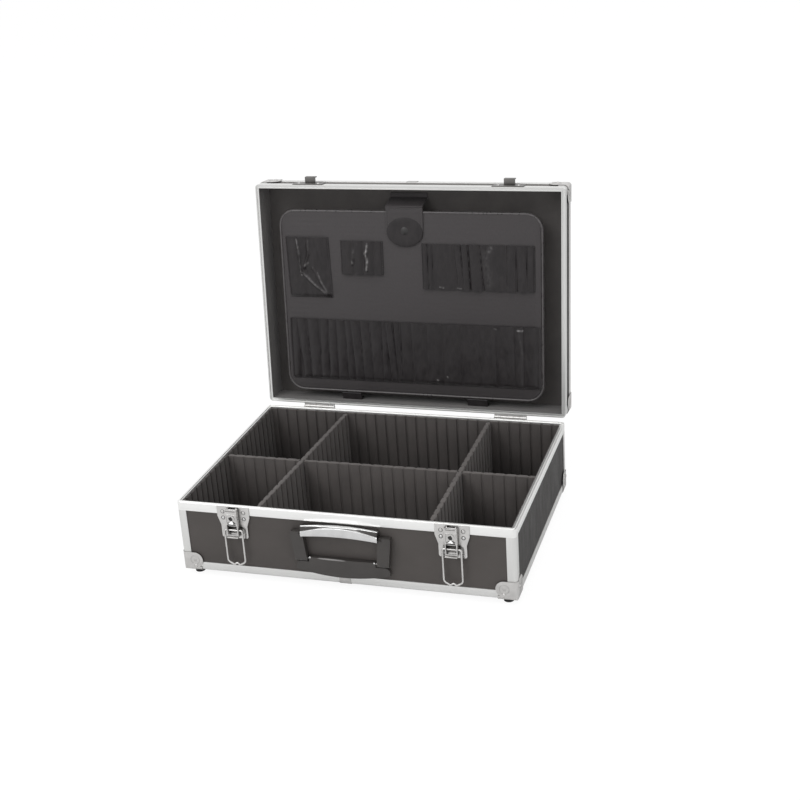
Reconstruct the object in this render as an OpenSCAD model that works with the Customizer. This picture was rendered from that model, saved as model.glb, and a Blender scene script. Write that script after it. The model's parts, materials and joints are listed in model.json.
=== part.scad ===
// Aluminium-framed carrying case with dividers in the base and a tool pallet in the lid.
// X runs to the right, Y to the back, Z up; Z = 0 is the surface that the feet stand on.

/* [Case] */
// Width of the case, side to side
case_w = 455; // [430:1:520]
// Depth of the case, front to back
case_d = 330; // [320:1:380]
// Height of the base shell, without its feet
base_h = 99; // [96:1:130]
// Height of the lid shell
lid_h = 44.5; // [43:0.5:60]
// Angle at which the lid stands open
lid_open = 95; // [80:1:100]
// Gap between the two rims when the lid is shut
parting_gap = 0.2; // [0.1:0.1:0.6]

/* [Aluminium edging] */
// Wall of the edge profiles
alu_t = 1.2; // [1:0.1:1.6]
// Leg of the profile round the closed edges
edge_leg = 12; // [10:0.5:14]
// Face leg of the rim profile
rim_leg = 11.5; // [10:0.5:13]
// Leg of the upright corner profiles
post_leg = 12.5; // [10:0.5:15]
// Thickness of the rim's top web
rim_web = 2.6; // [2.2:0.1:3.5]
// Outside radius of the upright corners
corner_r = 5; // [4.5:0.5:7]
// Outside radius of the closed edges
edge_r = 3; // [2.5:0.5:4]
// Width of the tongue that keys the two rims together
tongue_w = 1.6; // [1.2:0.1:2]
// Height of the tongue
tongue_h = 1.2; // [0.8:0.1:1.5]
// Distance of the tongue from the outside face
tongue_inset = 2; // [1.8:0.1:2.2]
// Width of the clip over the seam of a bent profile
seam_w = 15.6; // [10:0.2:24]
// Thickness of the seam clip
seam_t = 0.6; // [0.4:0.1:1]

/* [Walls and lining] */
// Thickness of the wall panels
panel_t = 3; // [2.5:0.1:3.5]
// Thickness of the base's slotted wall lining
lining_t = 3.3; // [3:0.1:4]
// Thickness of the lid's cloth lining
lid_lining_t = 1.3; // [1:0.1:2]
// Thickness of the pad on the base's floor
pad_t = 2; // [1:0.5:6]
// Distance between neighbouring slots in the lining
slot_pitch = 15.6; // [14:0.1:18]
// Width of a slot
slot_w = 3.5; // [3.3:0.1:4.5]
// Depth of a slot
slot_deep = 2; // [1.5:0.1:2.2]

/* [Dividers] */
// Thickness of a divider
divider_t = 6.5; // [5.5:0.1:8]
// Thickness of the tongue at a divider's ends
divider_tongue_t = 3; // [2:0.1:3.2]
// Depth of the grooves in a divider's faces
divider_groove = 1.4; // [0.8:0.1:1.5]
// Distance from the rim down to the dividers' top edge
divider_drop = 4; // [3:0.5:20]
// Slot of the lining that holds the right divider, counted from the middle
right_slot_count = 7.5; // [5.5:1:9.5]
// Slot that holds the left divider's front end, counted from the middle
left_front_slot_count = 7.5; // [5.5:1:9.5]
// Slot that holds the left divider's back end, counted from the middle
left_back_slot_count = 6.5; // [5.5:1:9.5]
// Clearance round a divider
divider_clear = 0.4; // [0.3:0.1:0.8]

/* [Corners and feet] */
// Thickness of the pressed corner caps
cap_t = 1; // [0.8:0.1:1.5]
// Radius of the round ear on each leaf of a cap
ear_r = 11.2; // [9:0.1:12]
// Distance of an ear's centre along its leaf
ear_far = 17; // [14:0.5:20]
// Distance of an ear's centre from the corner, across its leaf
ear_near = 14.5; // [12:0.5:16]
// Height of the feet below the base shell
foot_h = 9; // [4:0.5:10]
// Diameter of a foot
foot_d = 13; // [10:0.5:16]

/* [Hinges] */
// Distance of each hinge's and latch's middle in from the case's side
hardware_in = 80.5; // [60:0.5:110]
// Length of a hinge
hinge_l = 48; // [36:1:70]
// Distance of the hinge pin behind the case
hinge_back = 4.5; // [4.4:0.1:6]
// Radius of the hinge knuckles
knuckle_r = 3; // [2.6:0.1:3.1]
// Radius of the hinge pin
hinge_pin_r = 1.5; // [1:0.1:1.8]
// Thickness of a hinge leaf
leaf_t = 1.2; // [1:0.1:1.4]
// Height of a hinge leaf
leaf_h = 22; // [20:1:30]

/* [Latches] */
// Width of a latch plate at its top
plate_w = 45; // [42:0.5:50]
// Height of a latch plate
plate_h = 45; // [44:0.5:48]
// Thickness of a latch plate
plate_t = 1.2; // [1:0.1:1.5]
// Width of the lever
lever_w = 16; // [15:0.5:18]
// Distance that the lever stands out from the case
lever_out = 9; // [8.6:0.1:10]
// Gap between the lever's edge and the plate
lever_clear = 0.4; // [0.3:0.1:0.8]
// Wire diameter of the bail
wire_d = 2.6; // [2:0.1:2.8]
// Distance between the bail's legs, centre to centre
bail_w = 24.5; // [24:0.1:27]
// Length of the bail from its pivot to its end
bail_l = 52; // [50:0.5:52.5]
// Distance of the bail's pivot below the rim
bail_drop = 31.3; // [30.5:0.1:32]
// Distance of the bail's pivot out from the case
bail_out = 5.9; // [5.6:0.1:6]
// Radius of the lock plug
plug_r = 3.2; // [2.6:0.1:3.5]

/* [Handle] */
// Width of the handle across its arms at the top
handle_w = 135; // [128:0.5:150]
// Width of the handle across its arms at the pivots
handle_foot_w = 127; // [124:0.5:134]
// Width of an arm
arm_w = 16.5; // [14:0.5:18]
// Height of the handle's pivots above the underside of the base shell
handle_pivot_z = 35.5; // [34:0.5:38]
// Height of the arms' tops above the underside of the base shell
handle_top_z = 74.5; // [74:0.5:80]
// Thickness of the arms
arm_t = 8; // [8:0.1:10]
// Radius of the handle's pivot pins
handle_pin_r = 1.6; // [1.2:0.1:2]
// Length of the grip cover
grip_l = 103; // [90:0.5:110]
// Height of the grip cover's section
grip_h = 14.5; // [12:0.5:16]
// Depth of the grip cover's section
grip_deep = 12.5; // [12:0.5:18]
// Height of the grip's middle above the underside of the base shell
grip_top = 87; // [86:0.5:91]
// Rise of the grip's bow at its middle
grip_bow = 3; // [2:0.5:8]
// Wall of the grip cover
grip_t = 1; // [0.8:0.1:1.5]

/* [Tool pallet] */
// Distance of the pallet's sides from the lid's
pallet_side = 30.5; // [28:0.5:45]
// Distance of the pallet's lower edge from the lid's rear face
pallet_low = 17; // [15:0.5:26]
// Distance of the pallet's top edge from the front of the lid
pallet_top = 34; // [32:0.5:36]
// Sideways offset of the pallet
pallet_x = -2; // [-8:1:8]
// Corner radius of the pallet
pallet_r = 25; // [15:1:35]
// Thickness of the board
board_t = 5; // [3:0.5:6]
// Depth of the board's face behind the lid's rim
board_deep = 12; // [11:0.5:14]
// Width of the piping round the board
piping_w = 4; // [3:0.5:5]
// Depth that a pocket stands out from the board
pocket_out = 8; // [7:0.5:9]
// Thickness of the pocket sheet
pocket_t = 1; // [0.8:0.1:1.5]
// Width of the top strap
strap_w = 55; // [40:1:60]
// Thickness of the straps
strap_t = 1.6; // [1.2:0.1:2]

/* [Pockets] */
// Distance of the tall pocket from the pallet's left edge
tall_left = 12; // [6:1:14]
// Distance of the tall pocket below the pallet's top edge
tall_top = 44; // [30:1:60]
// Width of the tall pocket
tall_w = 64; // [50:1:70]
// Height of the tall pocket
tall_h = 90; // [60:1:95]
// Distance of the short pocket from the pallet's left edge
short_left = 94; // [90:1:100]
// Distance of the short pocket below the pallet's top edge
short_top = 48; // [30:1:60]
// Width of the short pocket
short_w = 65; // [50:1:68]
// Height of the short pocket
short_h = 49; // [30:1:90]
// Distance of the upper tool loops from the pallet's left edge
loops_left = 222; // [220:1:226]
// Distance of the upper tool loops below the pallet's top edge
loops_top = 50; // [30:1:60]
// Distance of the upper tool loops from the pallet's right edge
loops_right = 13; // [8:1:60]
// Height of the upper tool loops
loops_h = 66; // [40:1:90]
// Distance of the lower tool pocket from the pallet's left edge
lower_left = 9; // [6:1:12]
// Distance of the lower tool pocket below the pallet's top edge
lower_top = 167; // [155:1:170]
// Distance of the lower tool pocket from the pallet's right edge
lower_right = 7; // [5:1:60]
// Distance of the lower tool pocket from the pallet's lower edge
lower_low = 19; // [15:1:50]

/* [Hidden] */

$fn = 48;
EPS = 0.01;
SIDES = [-1, 1];
ALU = [0.88, 0.88, 0.87];
NICKEL = [0.78, 0.77, 0.76];
PANEL = [0.33, 0.31, 0.30];
LINING = [0.22, 0.21, 0.20];
SATIN_BLACK = [0.28, 0.27, 0.26];
BOARD = [0.29, 0.27, 0.28];
VINYL = [0.17, 0.17, 0.18];
RUBBER = [0.08, 0.08, 0.08];

// Walls of the base and lid, measured in from the outside faces
face_in = alu_t;
wall_in = alu_t + panel_t;
lined_in = wall_in + lining_t;
rim_w = wall_in + lid_lining_t;
rim_z = foot_h + base_h;
front_y = -case_d / 2;
back_y = case_d / 2;
panel_y = front_y + face_in;
groove_clear = 0.4;

// Rivets: shank radius, head radius, head height, and the clearance and length of their holes
shank_r = 1.2;
head_r = 2.4;
head_h = 1.1;
shank_fit = 0.03;
hole_l = 40;
cap_rivet_far = 17.5;
cap_rivet_near = 6.5;
foot_screw_r = 1.75;
foot_head_r = 3.2;
foot_head_h = 1.6;
foot_at = 15;

// Hinge axis and running clearances
hardware_x = case_w / 2 - hardware_in;
hinge_y = back_y + hinge_back;
running_fit = 0.05;
knuckle_count = 5;
knuckle_gap = 0.3;
hinge_rivet_x = 16;
hinge_rivet_z = [6.5, 17];

// Latch sizes, down from the rim and out from the front face
lever_pin_drop = 3;
lever_pin_out = 4;
lever_pin_r = 1;
lever_t = 1.2;
lever_end_r = 2.2;
lever_box_drop = 22.5;
lever_lip_top = 36.5;
lever_lip_end = 40.5;
lever_lip_out = 2.4;
pin_ear_t = 1.1;
pin_ear_r = 2;
plate_shoulder = 14.5;
plate_neck = 27;
skirt_in = 4.2;
skirt_r = 3;
plate_slot_gap = 1.2;
plate_slot_w = 1.6;
plate_slot_h = 8.5;
plate_slot_drop = 32;
latch_rivet_x = 14.5;
latch_rivet_drop = 7.5;
top_bend = 2.6;
bail_bend = 6;
bail_slope = 30;
eye_w = 4.5;
eye_h = 2.2;
collar_w = 1.6;
collar_h = 0.5;
tab_in = 2.6;
tab_drop = 3;
tab_h = 2;
top_slot_w = 13;
top_slot_h = 1.6;
plug_drop = 13;
plug_proud = 0.3;
plug_l = 4.5;
cam_w = 3;
cam_l = 6;
cam_t = 1;
key_w = 1;
key_h = 4.2;
key_r = 1.1;
key_deep = 1.6;
catch_h = 16;
catch_rise = 0.8;
hook_w = 16;
hook_out = 9.5;
hook_t = 1.5;
hook_lip = 6;
hook_clear = 0.3;
// Underside of the bail's wire over the hook's edge, once the bail is turned up
hook_arm_rise = bail_l - wire_d / 2 - bail_drop - (hook_w / 2 - eye_w) * tan(bail_slope)
    - wire_d / 2 / cos(bail_slope) - hook_clear;

// Handle
handle_out = 4.5;
handle_pivot_y = panel_y - handle_out;
pivot_z = foot_h + handle_pivot_z;
arm_end_r = arm_t / 2;
arm_top_z = foot_h + handle_top_z;
arm_top_r = 2;
core_tenon = 4;
handle_clear = 0.5;
handle_bottom_z = foot_h + edge_leg + handle_clear;
bar_gap = 0.4;
cheek_top = 2.5;
cheek_gap = 1.9;
handle_bulge = 8;
handle_bulge_end = 5.5;
handle_sag = 7;
sag_spare = 1;
sag_r = (pow(handle_foot_w / 2, 2) + pow(handle_sag, 2)) / (2 * handle_sag);
bow_r = (pow(grip_l / 2, 2) + pow(grip_bow, 2)) / (2 * grip_bow);
bulge_rise = handle_bulge - handle_bulge_end;
bulge_r = (pow(handle_foot_w / 2, 2) + pow(bulge_rise, 2)) / (2 * bulge_rise);
grip_z = foot_h + grip_top;
grip_y = handle_pivot_y + arm_end_r - grip_deep / 2;
grip_round = 6;
grip_spare = 1;
grip_seat = 0.05;
handle_pin_l = 12;
handle_bar_z = pivot_z - arm_end_r - bar_gap;
handle_end_r = 7;
handle_screw_x = 30;
handle_screw_r = 1.5;
handle_screw_head_r = 2.8;
handle_screw_head_h = 1.2;
handle_screw_bite = 6;

// Pallet, in the closed lid: y from the lid's front face, depth up from its rim
pallet_w = case_w - 2 * pallet_side;
pallet_h = case_d - pallet_top - pallet_low;
loops_w = pallet_w - loops_left - loops_right;
lower_w = pallet_w - lower_left - lower_right;
lower_h = pallet_h - lower_top - lower_low;
pallet_z = rim_z + parting_gap + board_deep;
pallet_front_y = front_y + pallet_top;
pallet_back_y = pallet_front_y + pallet_h;
soft_gap = 0.3;
bead_r = 1.2;
pallet_axis_y = pallet_back_y + bead_r + soft_gap;
pallet_axis_in = 1;
pallet_axis_z = pallet_z + pallet_axis_in;
strap_fall = 3;
strap_seam = 9;
piping_proud = 0.5;
strap_root = 16;
strap_foot = 6;
tongue_l = 56;
tongue_lead = 2;
stud_down = 32;
stud_y = pallet_front_y + stud_down;
strap_x = -4;
stud_x = pallet_x + strap_x;
stud_r = 6.5;
stud_h = 1.8;
stud_shank_r = 2;
hinge_strap_w = 30;
hinge_strap_x = 97;

lid_top_z = rim_z + parting_gap + lid_h;

// Dividers: their seats, their slots and the lap where two cross
divider_z = foot_h + wall_in + pad_t;
divider_h = rim_z - divider_drop - divider_z;
lap_z = divider_h / 2;
long_y = -slot_pitch / 2;
left_front_x = -left_front_slot_count * slot_pitch;
left_back_x = -left_back_slot_count * slot_pitch;
inner_w = case_w - 2 * lined_in;
inner_d = case_d - 2 * lined_in;
left_slope = (left_back_x - left_front_x) / inner_d;
left_cross_x = (left_front_x + left_back_x) / 2 + left_slope * long_y;
lap_w = divider_t * (1 + abs(left_slope)) + 2 * divider_clear;
right_x = right_slot_count * slot_pitch;

// ---------- shapes shared by several pieces ----------

// Rectangle with round corners, centred
module round_rect(w, d, r) {
    square([w - 2 * r, d], center = true);
    square([w, d - 2 * r], center = true);
    for (x = SIDES, y = SIDES)
        translate([x * (w / 2 - r), y * (d / 2 - r)]) circle(r);
}

// The case's outer form grown by g, open upwards: Z = 0 is the closed side's outer face
module case_form(g, h) {
    w = case_w + 2 * g;
    d = case_d + 2 * g;
    tall = 2 * h;
    intersection() {
        translate([0, 0, -g]) linear_extrude(h + g) round_rect(w, d, corner_r + g);
        translate([0, d / 2, tall / 2 - g]) rotate([90, 0, 0])
            linear_extrude(d) round_rect(w, tall, edge_r + g);
        translate([-w / 2, 0, tall / 2 - g]) rotate([90, 0, 90])
            linear_extrude(w) round_rect(d, tall, edge_r + g);
    }
}

// Slab of the whole plan between two heights
module slab(z0, z1) {
    translate([-case_w, -case_d, z0]) cube([2 * case_w, 2 * case_d, z1 - z0]);
}

// Flat ring that follows the rim, between two distances in from the outside
module rim_ring(in0, in1, h) {
    linear_extrude(h) difference() {
        round_rect(case_w - 2 * in0, case_d - 2 * in0, max(corner_r - in0, 1));
        round_rect(case_w - 2 * in1, case_d - 2 * in1, max(corner_r - in1, 1));
    }
}

// Places its children upright in the base
module in_base() {
    translate([0, 0, foot_h]) children();
}

// Turns closed-lid coordinates into those of the open lid
module open_lid() {
    translate([0, hinge_y, rim_z]) rotate([-lid_open, 0, 0]) translate([0, -hinge_y, -rim_z]) children();
}

// Places its children, drawn like the base, in the lid: upside down above the rim
module in_lid() {
    open_lid() translate([0, 0, lid_top_z]) mirror([0, 0, 1]) children();
}

// Repeats its children at the four corners, drawn for the corner at -X -Y
module four_corners() {
    for (x = [0, 1], y = [0, 1]) mirror([x, 0, 0]) mirror([0, y, 0]) children();
}

// Low dome on the plane Z = 0
module dome(r, h) {
    ball_r = (r * r + h * h) / (2 * h);
    intersection() {
        translate([0, 0, h - ball_r]) sphere(ball_r);
        cylinder(r = r, h = h);
    }
}

// Rivet along Z: its head sits on Z = 0 and its shank runs down for a length
module rivet(len) {
    dome(head_r, head_h);
    translate([0, 0, -len]) cylinder(r = shank_r, h = len);
}

// Hole for a shank, right through whatever it is cut from
module shank_hole(r = shank_r) {
    cylinder(r = r + shank_fit, h = hole_l, center = true);
}

// Rivet places of a shell: each turns +Z to the outward normal at its outer face
module cap_rivet_places() {
    four_corners() {
        translate([cap_rivet_far - case_w / 2, -case_d / 2, cap_rivet_near]) rotate([90, 0, 0]) children();
        translate([-case_w / 2, cap_rivet_near - case_d / 2, cap_rivet_far]) rotate([0, -90, 0]) children();
    }
}

module foot_places() {
    four_corners() translate([foot_at - case_w / 2, foot_at - case_d / 2, 0]) children();
}

module latch_rivet_places(drop) {
    for (side = SIDES, x = SIDES)
        translate([side * hardware_x + x * latch_rivet_x, front_y, drop]) rotate([90, 0, 0]) children();
}

module hinge_rivet_places(flip) {
    for (side = SIDES, x = SIDES, z = hinge_rivet_z)
        translate([side * hardware_x + x * hinge_rivet_x, back_y, flip * z]) rotate([-90, 0, 0]) children();
}

// ---------- profiles of a shell: the same for base and lid, with its own height ----------

module edge_profile(h, feet) {
    color(ALU) difference() {
        intersection() {
            case_form(0, h);
            slab(0, edge_leg);
        }
        case_form(-alu_t, h + EPS);
        translate([0, 0, -EPS]) linear_extrude(alu_t * 2)
            square([case_w - 2 * edge_leg, case_d - 2 * edge_leg], center = true);
        cap_rivet_places() shank_hole();
        if (feet) foot_places() shank_hole(foot_screw_r);
    }
}

module rim_profile(h) {
    difference() {
        intersection() {
            case_form(0, h);
            slab(h - rim_leg, h);
        }
        intersection() {
            case_form(-alu_t, h + EPS);
            slab(0, h - rim_web);
        }
        translate([0, 0, h / 2]) linear_extrude(h)
            square([case_w - 2 * rim_w, case_d - 2 * rim_w], center = true);
    }
}

module post_profiles(h) {
    color(ALU) difference() {
        intersection() {
            case_form(0, h);
            slab(edge_leg, h - rim_leg);
            four_corners() translate([-case_w / 2, -case_d / 2, 0]) cube([post_leg, post_leg, h]);
        }
        case_form(-alu_t, h + EPS);
        cap_rivet_places() shank_hole();
    }
}

// Outline of the cap's three leaves, as one solid region round the corner
module cap_region() {
    reach = 4;
    for (turn = [0, 1, 2]) {
        // Each leaf is the same ear, carried round the corner's diagonal
        translate([-case_w / 2 - reach, -case_d / 2 - reach, -reach])
            cyclic_turn(turn) {
                translate([ear_far + reach, ear_r + reach, ear_near + reach]) rotate([90, 0, 0])
                    cylinder(r = ear_r, h = ear_r + reach);
                cube([ear_far + reach, corner_r + reach, ear_near + ear_r + reach]);
            }
    }
}

// Cyclic turn of the axes: X to Y to Z
module cyclic_turn(turn) {
    if (turn == 0) children();
    if (turn == 1) rotate([90, 0, 90]) children();
    if (turn == 2) rotate([0, -90, -90]) children();
}

module corner_caps(h, feet) {
    color(NICKEL) difference() {
        four_corners() intersection() {
            case_form(cap_t, h);
            cap_region();
        }
        case_form(0, h + EPS);
        cap_rivet_places() shank_hole();
        if (feet) foot_places() shank_hole(foot_screw_r);
    }
}

module seam_clip(h) {
    color(NICKEL) difference() {
        intersection() {
            case_form(seam_t, h);
            translate([-seam_w / 2, front_y - seam_t, -seam_t])
                cube([seam_w, edge_leg + seam_t, edge_leg + seam_t]);
        }
        case_form(0, h);
    }
}

// ---------- panels ----------

module wall_panel_x(h) {
    translate([corner_r - case_w / 2, front_y + face_in, edge_r])
        cube([case_w - 2 * corner_r, panel_t, h - edge_r - rim_web]);
}

module wall_panel_y(h) {
    translate([face_in - case_w / 2, corner_r - case_d / 2, edge_r])
        cube([panel_t, case_d - 2 * corner_r, h - edge_r - rim_web]);
}

module closing_panel() {
    translate([wall_in - case_w / 2, wall_in - case_d / 2, face_in])
        cube([case_w - 2 * wall_in, case_d - 2 * wall_in, panel_t]);
}

module front_holes(h) {
    cap_rivet_places() shank_hole();
    latch_rivet_places(h - latch_rivet_drop) shank_hole();
}

module back_holes(h) {
    cap_rivet_places() shank_hole();
    translate([0, 0, h]) hinge_rivet_places(-1) shank_hole();
}

module base_front_panel() {
    color(PANEL) in_base() difference() {
        wall_panel_x(base_h);
        front_holes(base_h);
        translate([0, 0, -foot_h]) handle_screw_places() handle_screw(shank_fit);
    }
}

module base_back_panel() {
    color(PANEL) in_base() difference() {
        mirror([0, 1, 0]) wall_panel_x(base_h);
        back_holes(base_h);
    }
}

module base_side_panels() {
    color(PANEL) in_base() difference() {
        for (x = [0, 1]) mirror([x, 0, 0]) wall_panel_y(base_h);
        cap_rivet_places() shank_hole();
    }
}

module base_bottom_panel() {
    color(PANEL) in_base() difference() {
        closing_panel();
        foot_places() shank_hole(foot_screw_r);
    }
}

module base_rim() {
    color(ALU) in_base() {
        difference() {
            rim_profile(base_h);
            front_holes(base_h);
            back_holes(base_h);
        }
        translate([0, 0, base_h]) rim_ring(tongue_inset, tongue_inset + tongue_w, tongue_h);
    }
}

module base_bottom_edge() {
    in_base() edge_profile(base_h, true);
}

module base_corner_posts() {
    in_base() post_profiles(base_h);
}

module base_corner_caps() {
    in_base() corner_caps(base_h, true);
}

module base_seam_clip() {
    in_base() seam_clip(base_h);
}

module base_rivets() {
    color(NICKEL) in_base() {
        cap_rivet_places() translate([0, 0, cap_t]) rivet(wall_in + cap_t);
        translate([0, 0, base_h]) hinge_rivet_places(-1) translate([0, 0, leaf_t]) rivet(wall_in + leaf_t);
    }
}

module feet() {
    color(RUBBER) in_base() foot_places() difference() {
        translate([0, 0, -foot_h]) cylinder(d = foot_d, h = foot_h - cap_t);
        translate([0, 0, -foot_h - EPS]) cylinder(r = foot_head_r + shank_fit, h = foot_head_h + EPS);
        translate([0, 0, -foot_h]) cylinder(r = foot_screw_r + shank_fit, h = foot_h);
    }
}

module foot_screws() {
    recess = 0.4;
    color(NICKEL) in_base() foot_places() {
        translate([0, 0, recess - foot_h]) cylinder(r = foot_head_r, h = foot_head_h - recess);
        translate([0, 0, recess - foot_h]) cylinder(r = foot_screw_r, h = foot_h - recess + wall_in);
    }
}

// ---------- lining ----------

// Slot centres on either side of the middle that leave a whole rib at the wall's end
function slot_places(len) = [
    for (k = [-floor(len / slot_pitch / 2 - 0.5) - 0.5 : 1 : len / slot_pitch / 2])
        if (abs(k) * slot_pitch < len / 2 - slot_w) k * slot_pitch
];

module slotted_lining(len) {
    difference() {
        translate([-len / 2, 0, wall_in]) cube([len, lining_t, base_h - rim_web - wall_in]);
        for (x = slot_places(len - 2 * lining_t))
            translate([x - slot_w / 2, lining_t - slot_deep, 0]) cube([slot_w, lining_t, base_h]);
    }
}

module lining_front() {
    color(LINING) in_base() translate([0, front_y + wall_in, 0]) slotted_lining(case_w - 2 * wall_in);
}

module lining_back() {
    color(LINING) in_base() mirror([0, 1, 0]) translate([0, front_y + wall_in, 0])
        slotted_lining(case_w - 2 * wall_in);
}

module lining_sides() {
    color(LINING) in_base() for (x = [0, 1]) mirror([x, 0, 0])
        translate([wall_in - case_w / 2, 0, 0]) rotate([0, 0, -90]) slotted_lining(case_d - 2 * lined_in);
}

module floor_pad() {
    color(LINING) in_base() translate([lined_in - case_w / 2, lined_in - case_d / 2, wall_in])
        cube([case_w - 2 * lined_in, case_d - 2 * lined_in, pad_t]);
}

// ---------- dividers ----------

// Grooved board along X, its middle at X = 0, with a tongue at each end
module divider(len) {
    difference() {
        union() {
            translate([-len / 2 + divider_clear, -divider_t / 2, 0])
                cube([len - 2 * divider_clear, divider_t, divider_h]);
            translate([-len / 2 - slot_deep + divider_clear, -divider_tongue_t / 2, 0])
                cube([len + 2 * slot_deep - 2 * divider_clear, divider_tongue_t, divider_h]);
        }
        for (x = slot_places(len), y = SIDES)
            translate([x, y * divider_t / 2, divider_h / 2])
                cube([slot_w, 2 * divider_groove, divider_h + 1], center = true);
    }
}

module long_divider() {
    color(LINING) difference() {
        translate([0, long_y, divider_z]) divider(inner_w);
        for (x = [left_cross_x, right_x])
            translate([x - lap_w / 2, long_y - divider_t, divider_z + lap_z])
                cube([lap_w, 2 * divider_t, divider_h]);
    }
}

// Cross divider between two slot positions, notched from below over the long one
module cross_divider(front_x, back_x) {
    slope = atan((back_x - front_x) / inner_d);
    color(LINING) difference() {
        translate([(front_x + back_x) / 2, 0, divider_z]) rotate([0, 0, 90 - slope]) divider(inner_d);
        translate([-case_w / 2, long_y - lap_w / 2, divider_z - 1])
            cube([case_w, lap_w, lap_z + divider_clear + 1]);
    }
}

module left_cross_divider() {
    cross_divider(left_front_x, left_back_x);
}

module right_cross_divider() {
    cross_divider(right_x, right_x);
}

// ---------- hinges ----------

// Knuckle number k of a hinge centred on X = 0
module knuckle(k, bore) {
    step = hinge_l / knuckle_count;
    translate([-hinge_l / 2 + k * step + knuckle_gap / 2, 0, 0]) rotate([0, 90, 0]) difference() {
        union() {
            cylinder(r = knuckle_r, h = step - knuckle_gap);
            children();
        }
        translate([0, 0, -1]) cylinder(r = bore, h = step + 2);
    }
}

// Web from a knuckle to its leaf, on the leaf's own side of the parting
module knuckle_web() {
    step = hinge_l / knuckle_count;
    translate([0, -hinge_back, 0]) cube([knuckle_r, hinge_back, step - knuckle_gap]);
}

module hinge_leaf() {
    translate([-hinge_l / 2, back_y, -leaf_h]) difference() {
        cube([hinge_l, leaf_t, leaf_h - parting_gap]);
        for (x = SIDES, z = hinge_rivet_z)
            translate([hinge_l / 2 + x * hinge_rivet_x, -1, leaf_h - z]) rotate([-90, 0, 0])
                cylinder(r = shank_r + shank_fit, h = leaf_t + 2);
    }
}

module hinge_base_leaves() {
    color(NICKEL) for (side = SIDES) translate([side * hardware_x, 0, rim_z]) {
        hinge_leaf();
        for (k = [0, 2, 4]) translate([0, hinge_y, 0]) knuckle(k, hinge_pin_r + shank_fit) knuckle_web();
    }
}

module hinge_lid_leaves() {
    color(NICKEL) open_lid() for (side = SIDES) translate([side * hardware_x, 0, rim_z]) mirror([0, 0, 1]) {
        hinge_leaf();
        for (k = [1, 3]) translate([0, hinge_y, 0]) knuckle(k, hinge_pin_r + running_fit) knuckle_web();
    }
}

module hinge_pins() {
    color(NICKEL) for (side = SIDES)
        translate([side * hardware_x - hinge_l / 2, hinge_y, rim_z]) rotate([0, 90, 0])
            cylinder(r = hinge_pin_r, h = hinge_l);
}

// ---------- latches: drawn about X = 0, with Z = 0 at the rim and Y = 0 at the front face ----------

module at_latch(side) {
    translate([side * hardware_x, front_y, rim_z]) children();
}

// Shield outline of the plate: wide shoulders, a narrower skirt with round corners
module plate_outline() {
    skirt_w = plate_w - 2 * skirt_in;
    translate([0, -EPS]) polygon([
        [-plate_w / 2, 0], [plate_w / 2, 0], [plate_w / 2, -plate_shoulder], [skirt_w / 2, -plate_neck],
        [skirt_w / 2, skirt_r - plate_h], [-skirt_w / 2, skirt_r - plate_h],
        [-skirt_w / 2, -plate_neck], [-plate_w / 2, -plate_shoulder]
    ]);
    translate([0, skirt_r * 2 - plate_h]) round_rect(skirt_w, skirt_r * 4, skirt_r);
}

module latch_plate() {
    slot_x = lever_w / 2 + plate_slot_gap;
    ear_x = lever_w / 2 - lever_t - lever_clear - pin_ear_t / 2;
    color(NICKEL) {
        difference() {
            rotate([90, 0, 0]) linear_extrude(plate_t) plate_outline();
            for (x = SIDES) {
                translate([x * latch_rivet_x, 0, -latch_rivet_drop]) rotate([90, 0, 0]) shank_hole();
                translate([x * slot_x, 0, -plate_slot_drop])
                    cube([plate_slot_w, 3 * plate_t, plate_slot_h], center = true);
            }
        }
        // Ears inside the lever that carry its pin
        for (x = SIDES) translate([x * ear_x, 0, -lever_pin_drop])
            difference() {
                union() {
                    translate([0, -lever_pin_out, 0]) rotate([0, 90, 0])
                        cylinder(r = pin_ear_r, h = pin_ear_t, center = true);
                    translate([-pin_ear_t / 2, -lever_pin_out, -pin_ear_r])
                        cube([pin_ear_t, lever_pin_out - plate_t + EPS, 2 * pin_ear_r]);
                }
                translate([-pin_ear_t, -lever_pin_out, 0]) rotate([0, 90, 0])
                    cylinder(r = lever_pin_r + shank_fit, h = 2 * pin_ear_t);
            }
    }
}

module lever_pin() {
    translate([-lever_w / 2, -lever_pin_out, -lever_pin_drop]) rotate([0, 90, 0])
        cylinder(r = lever_pin_r, h = lever_w);
}

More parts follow.
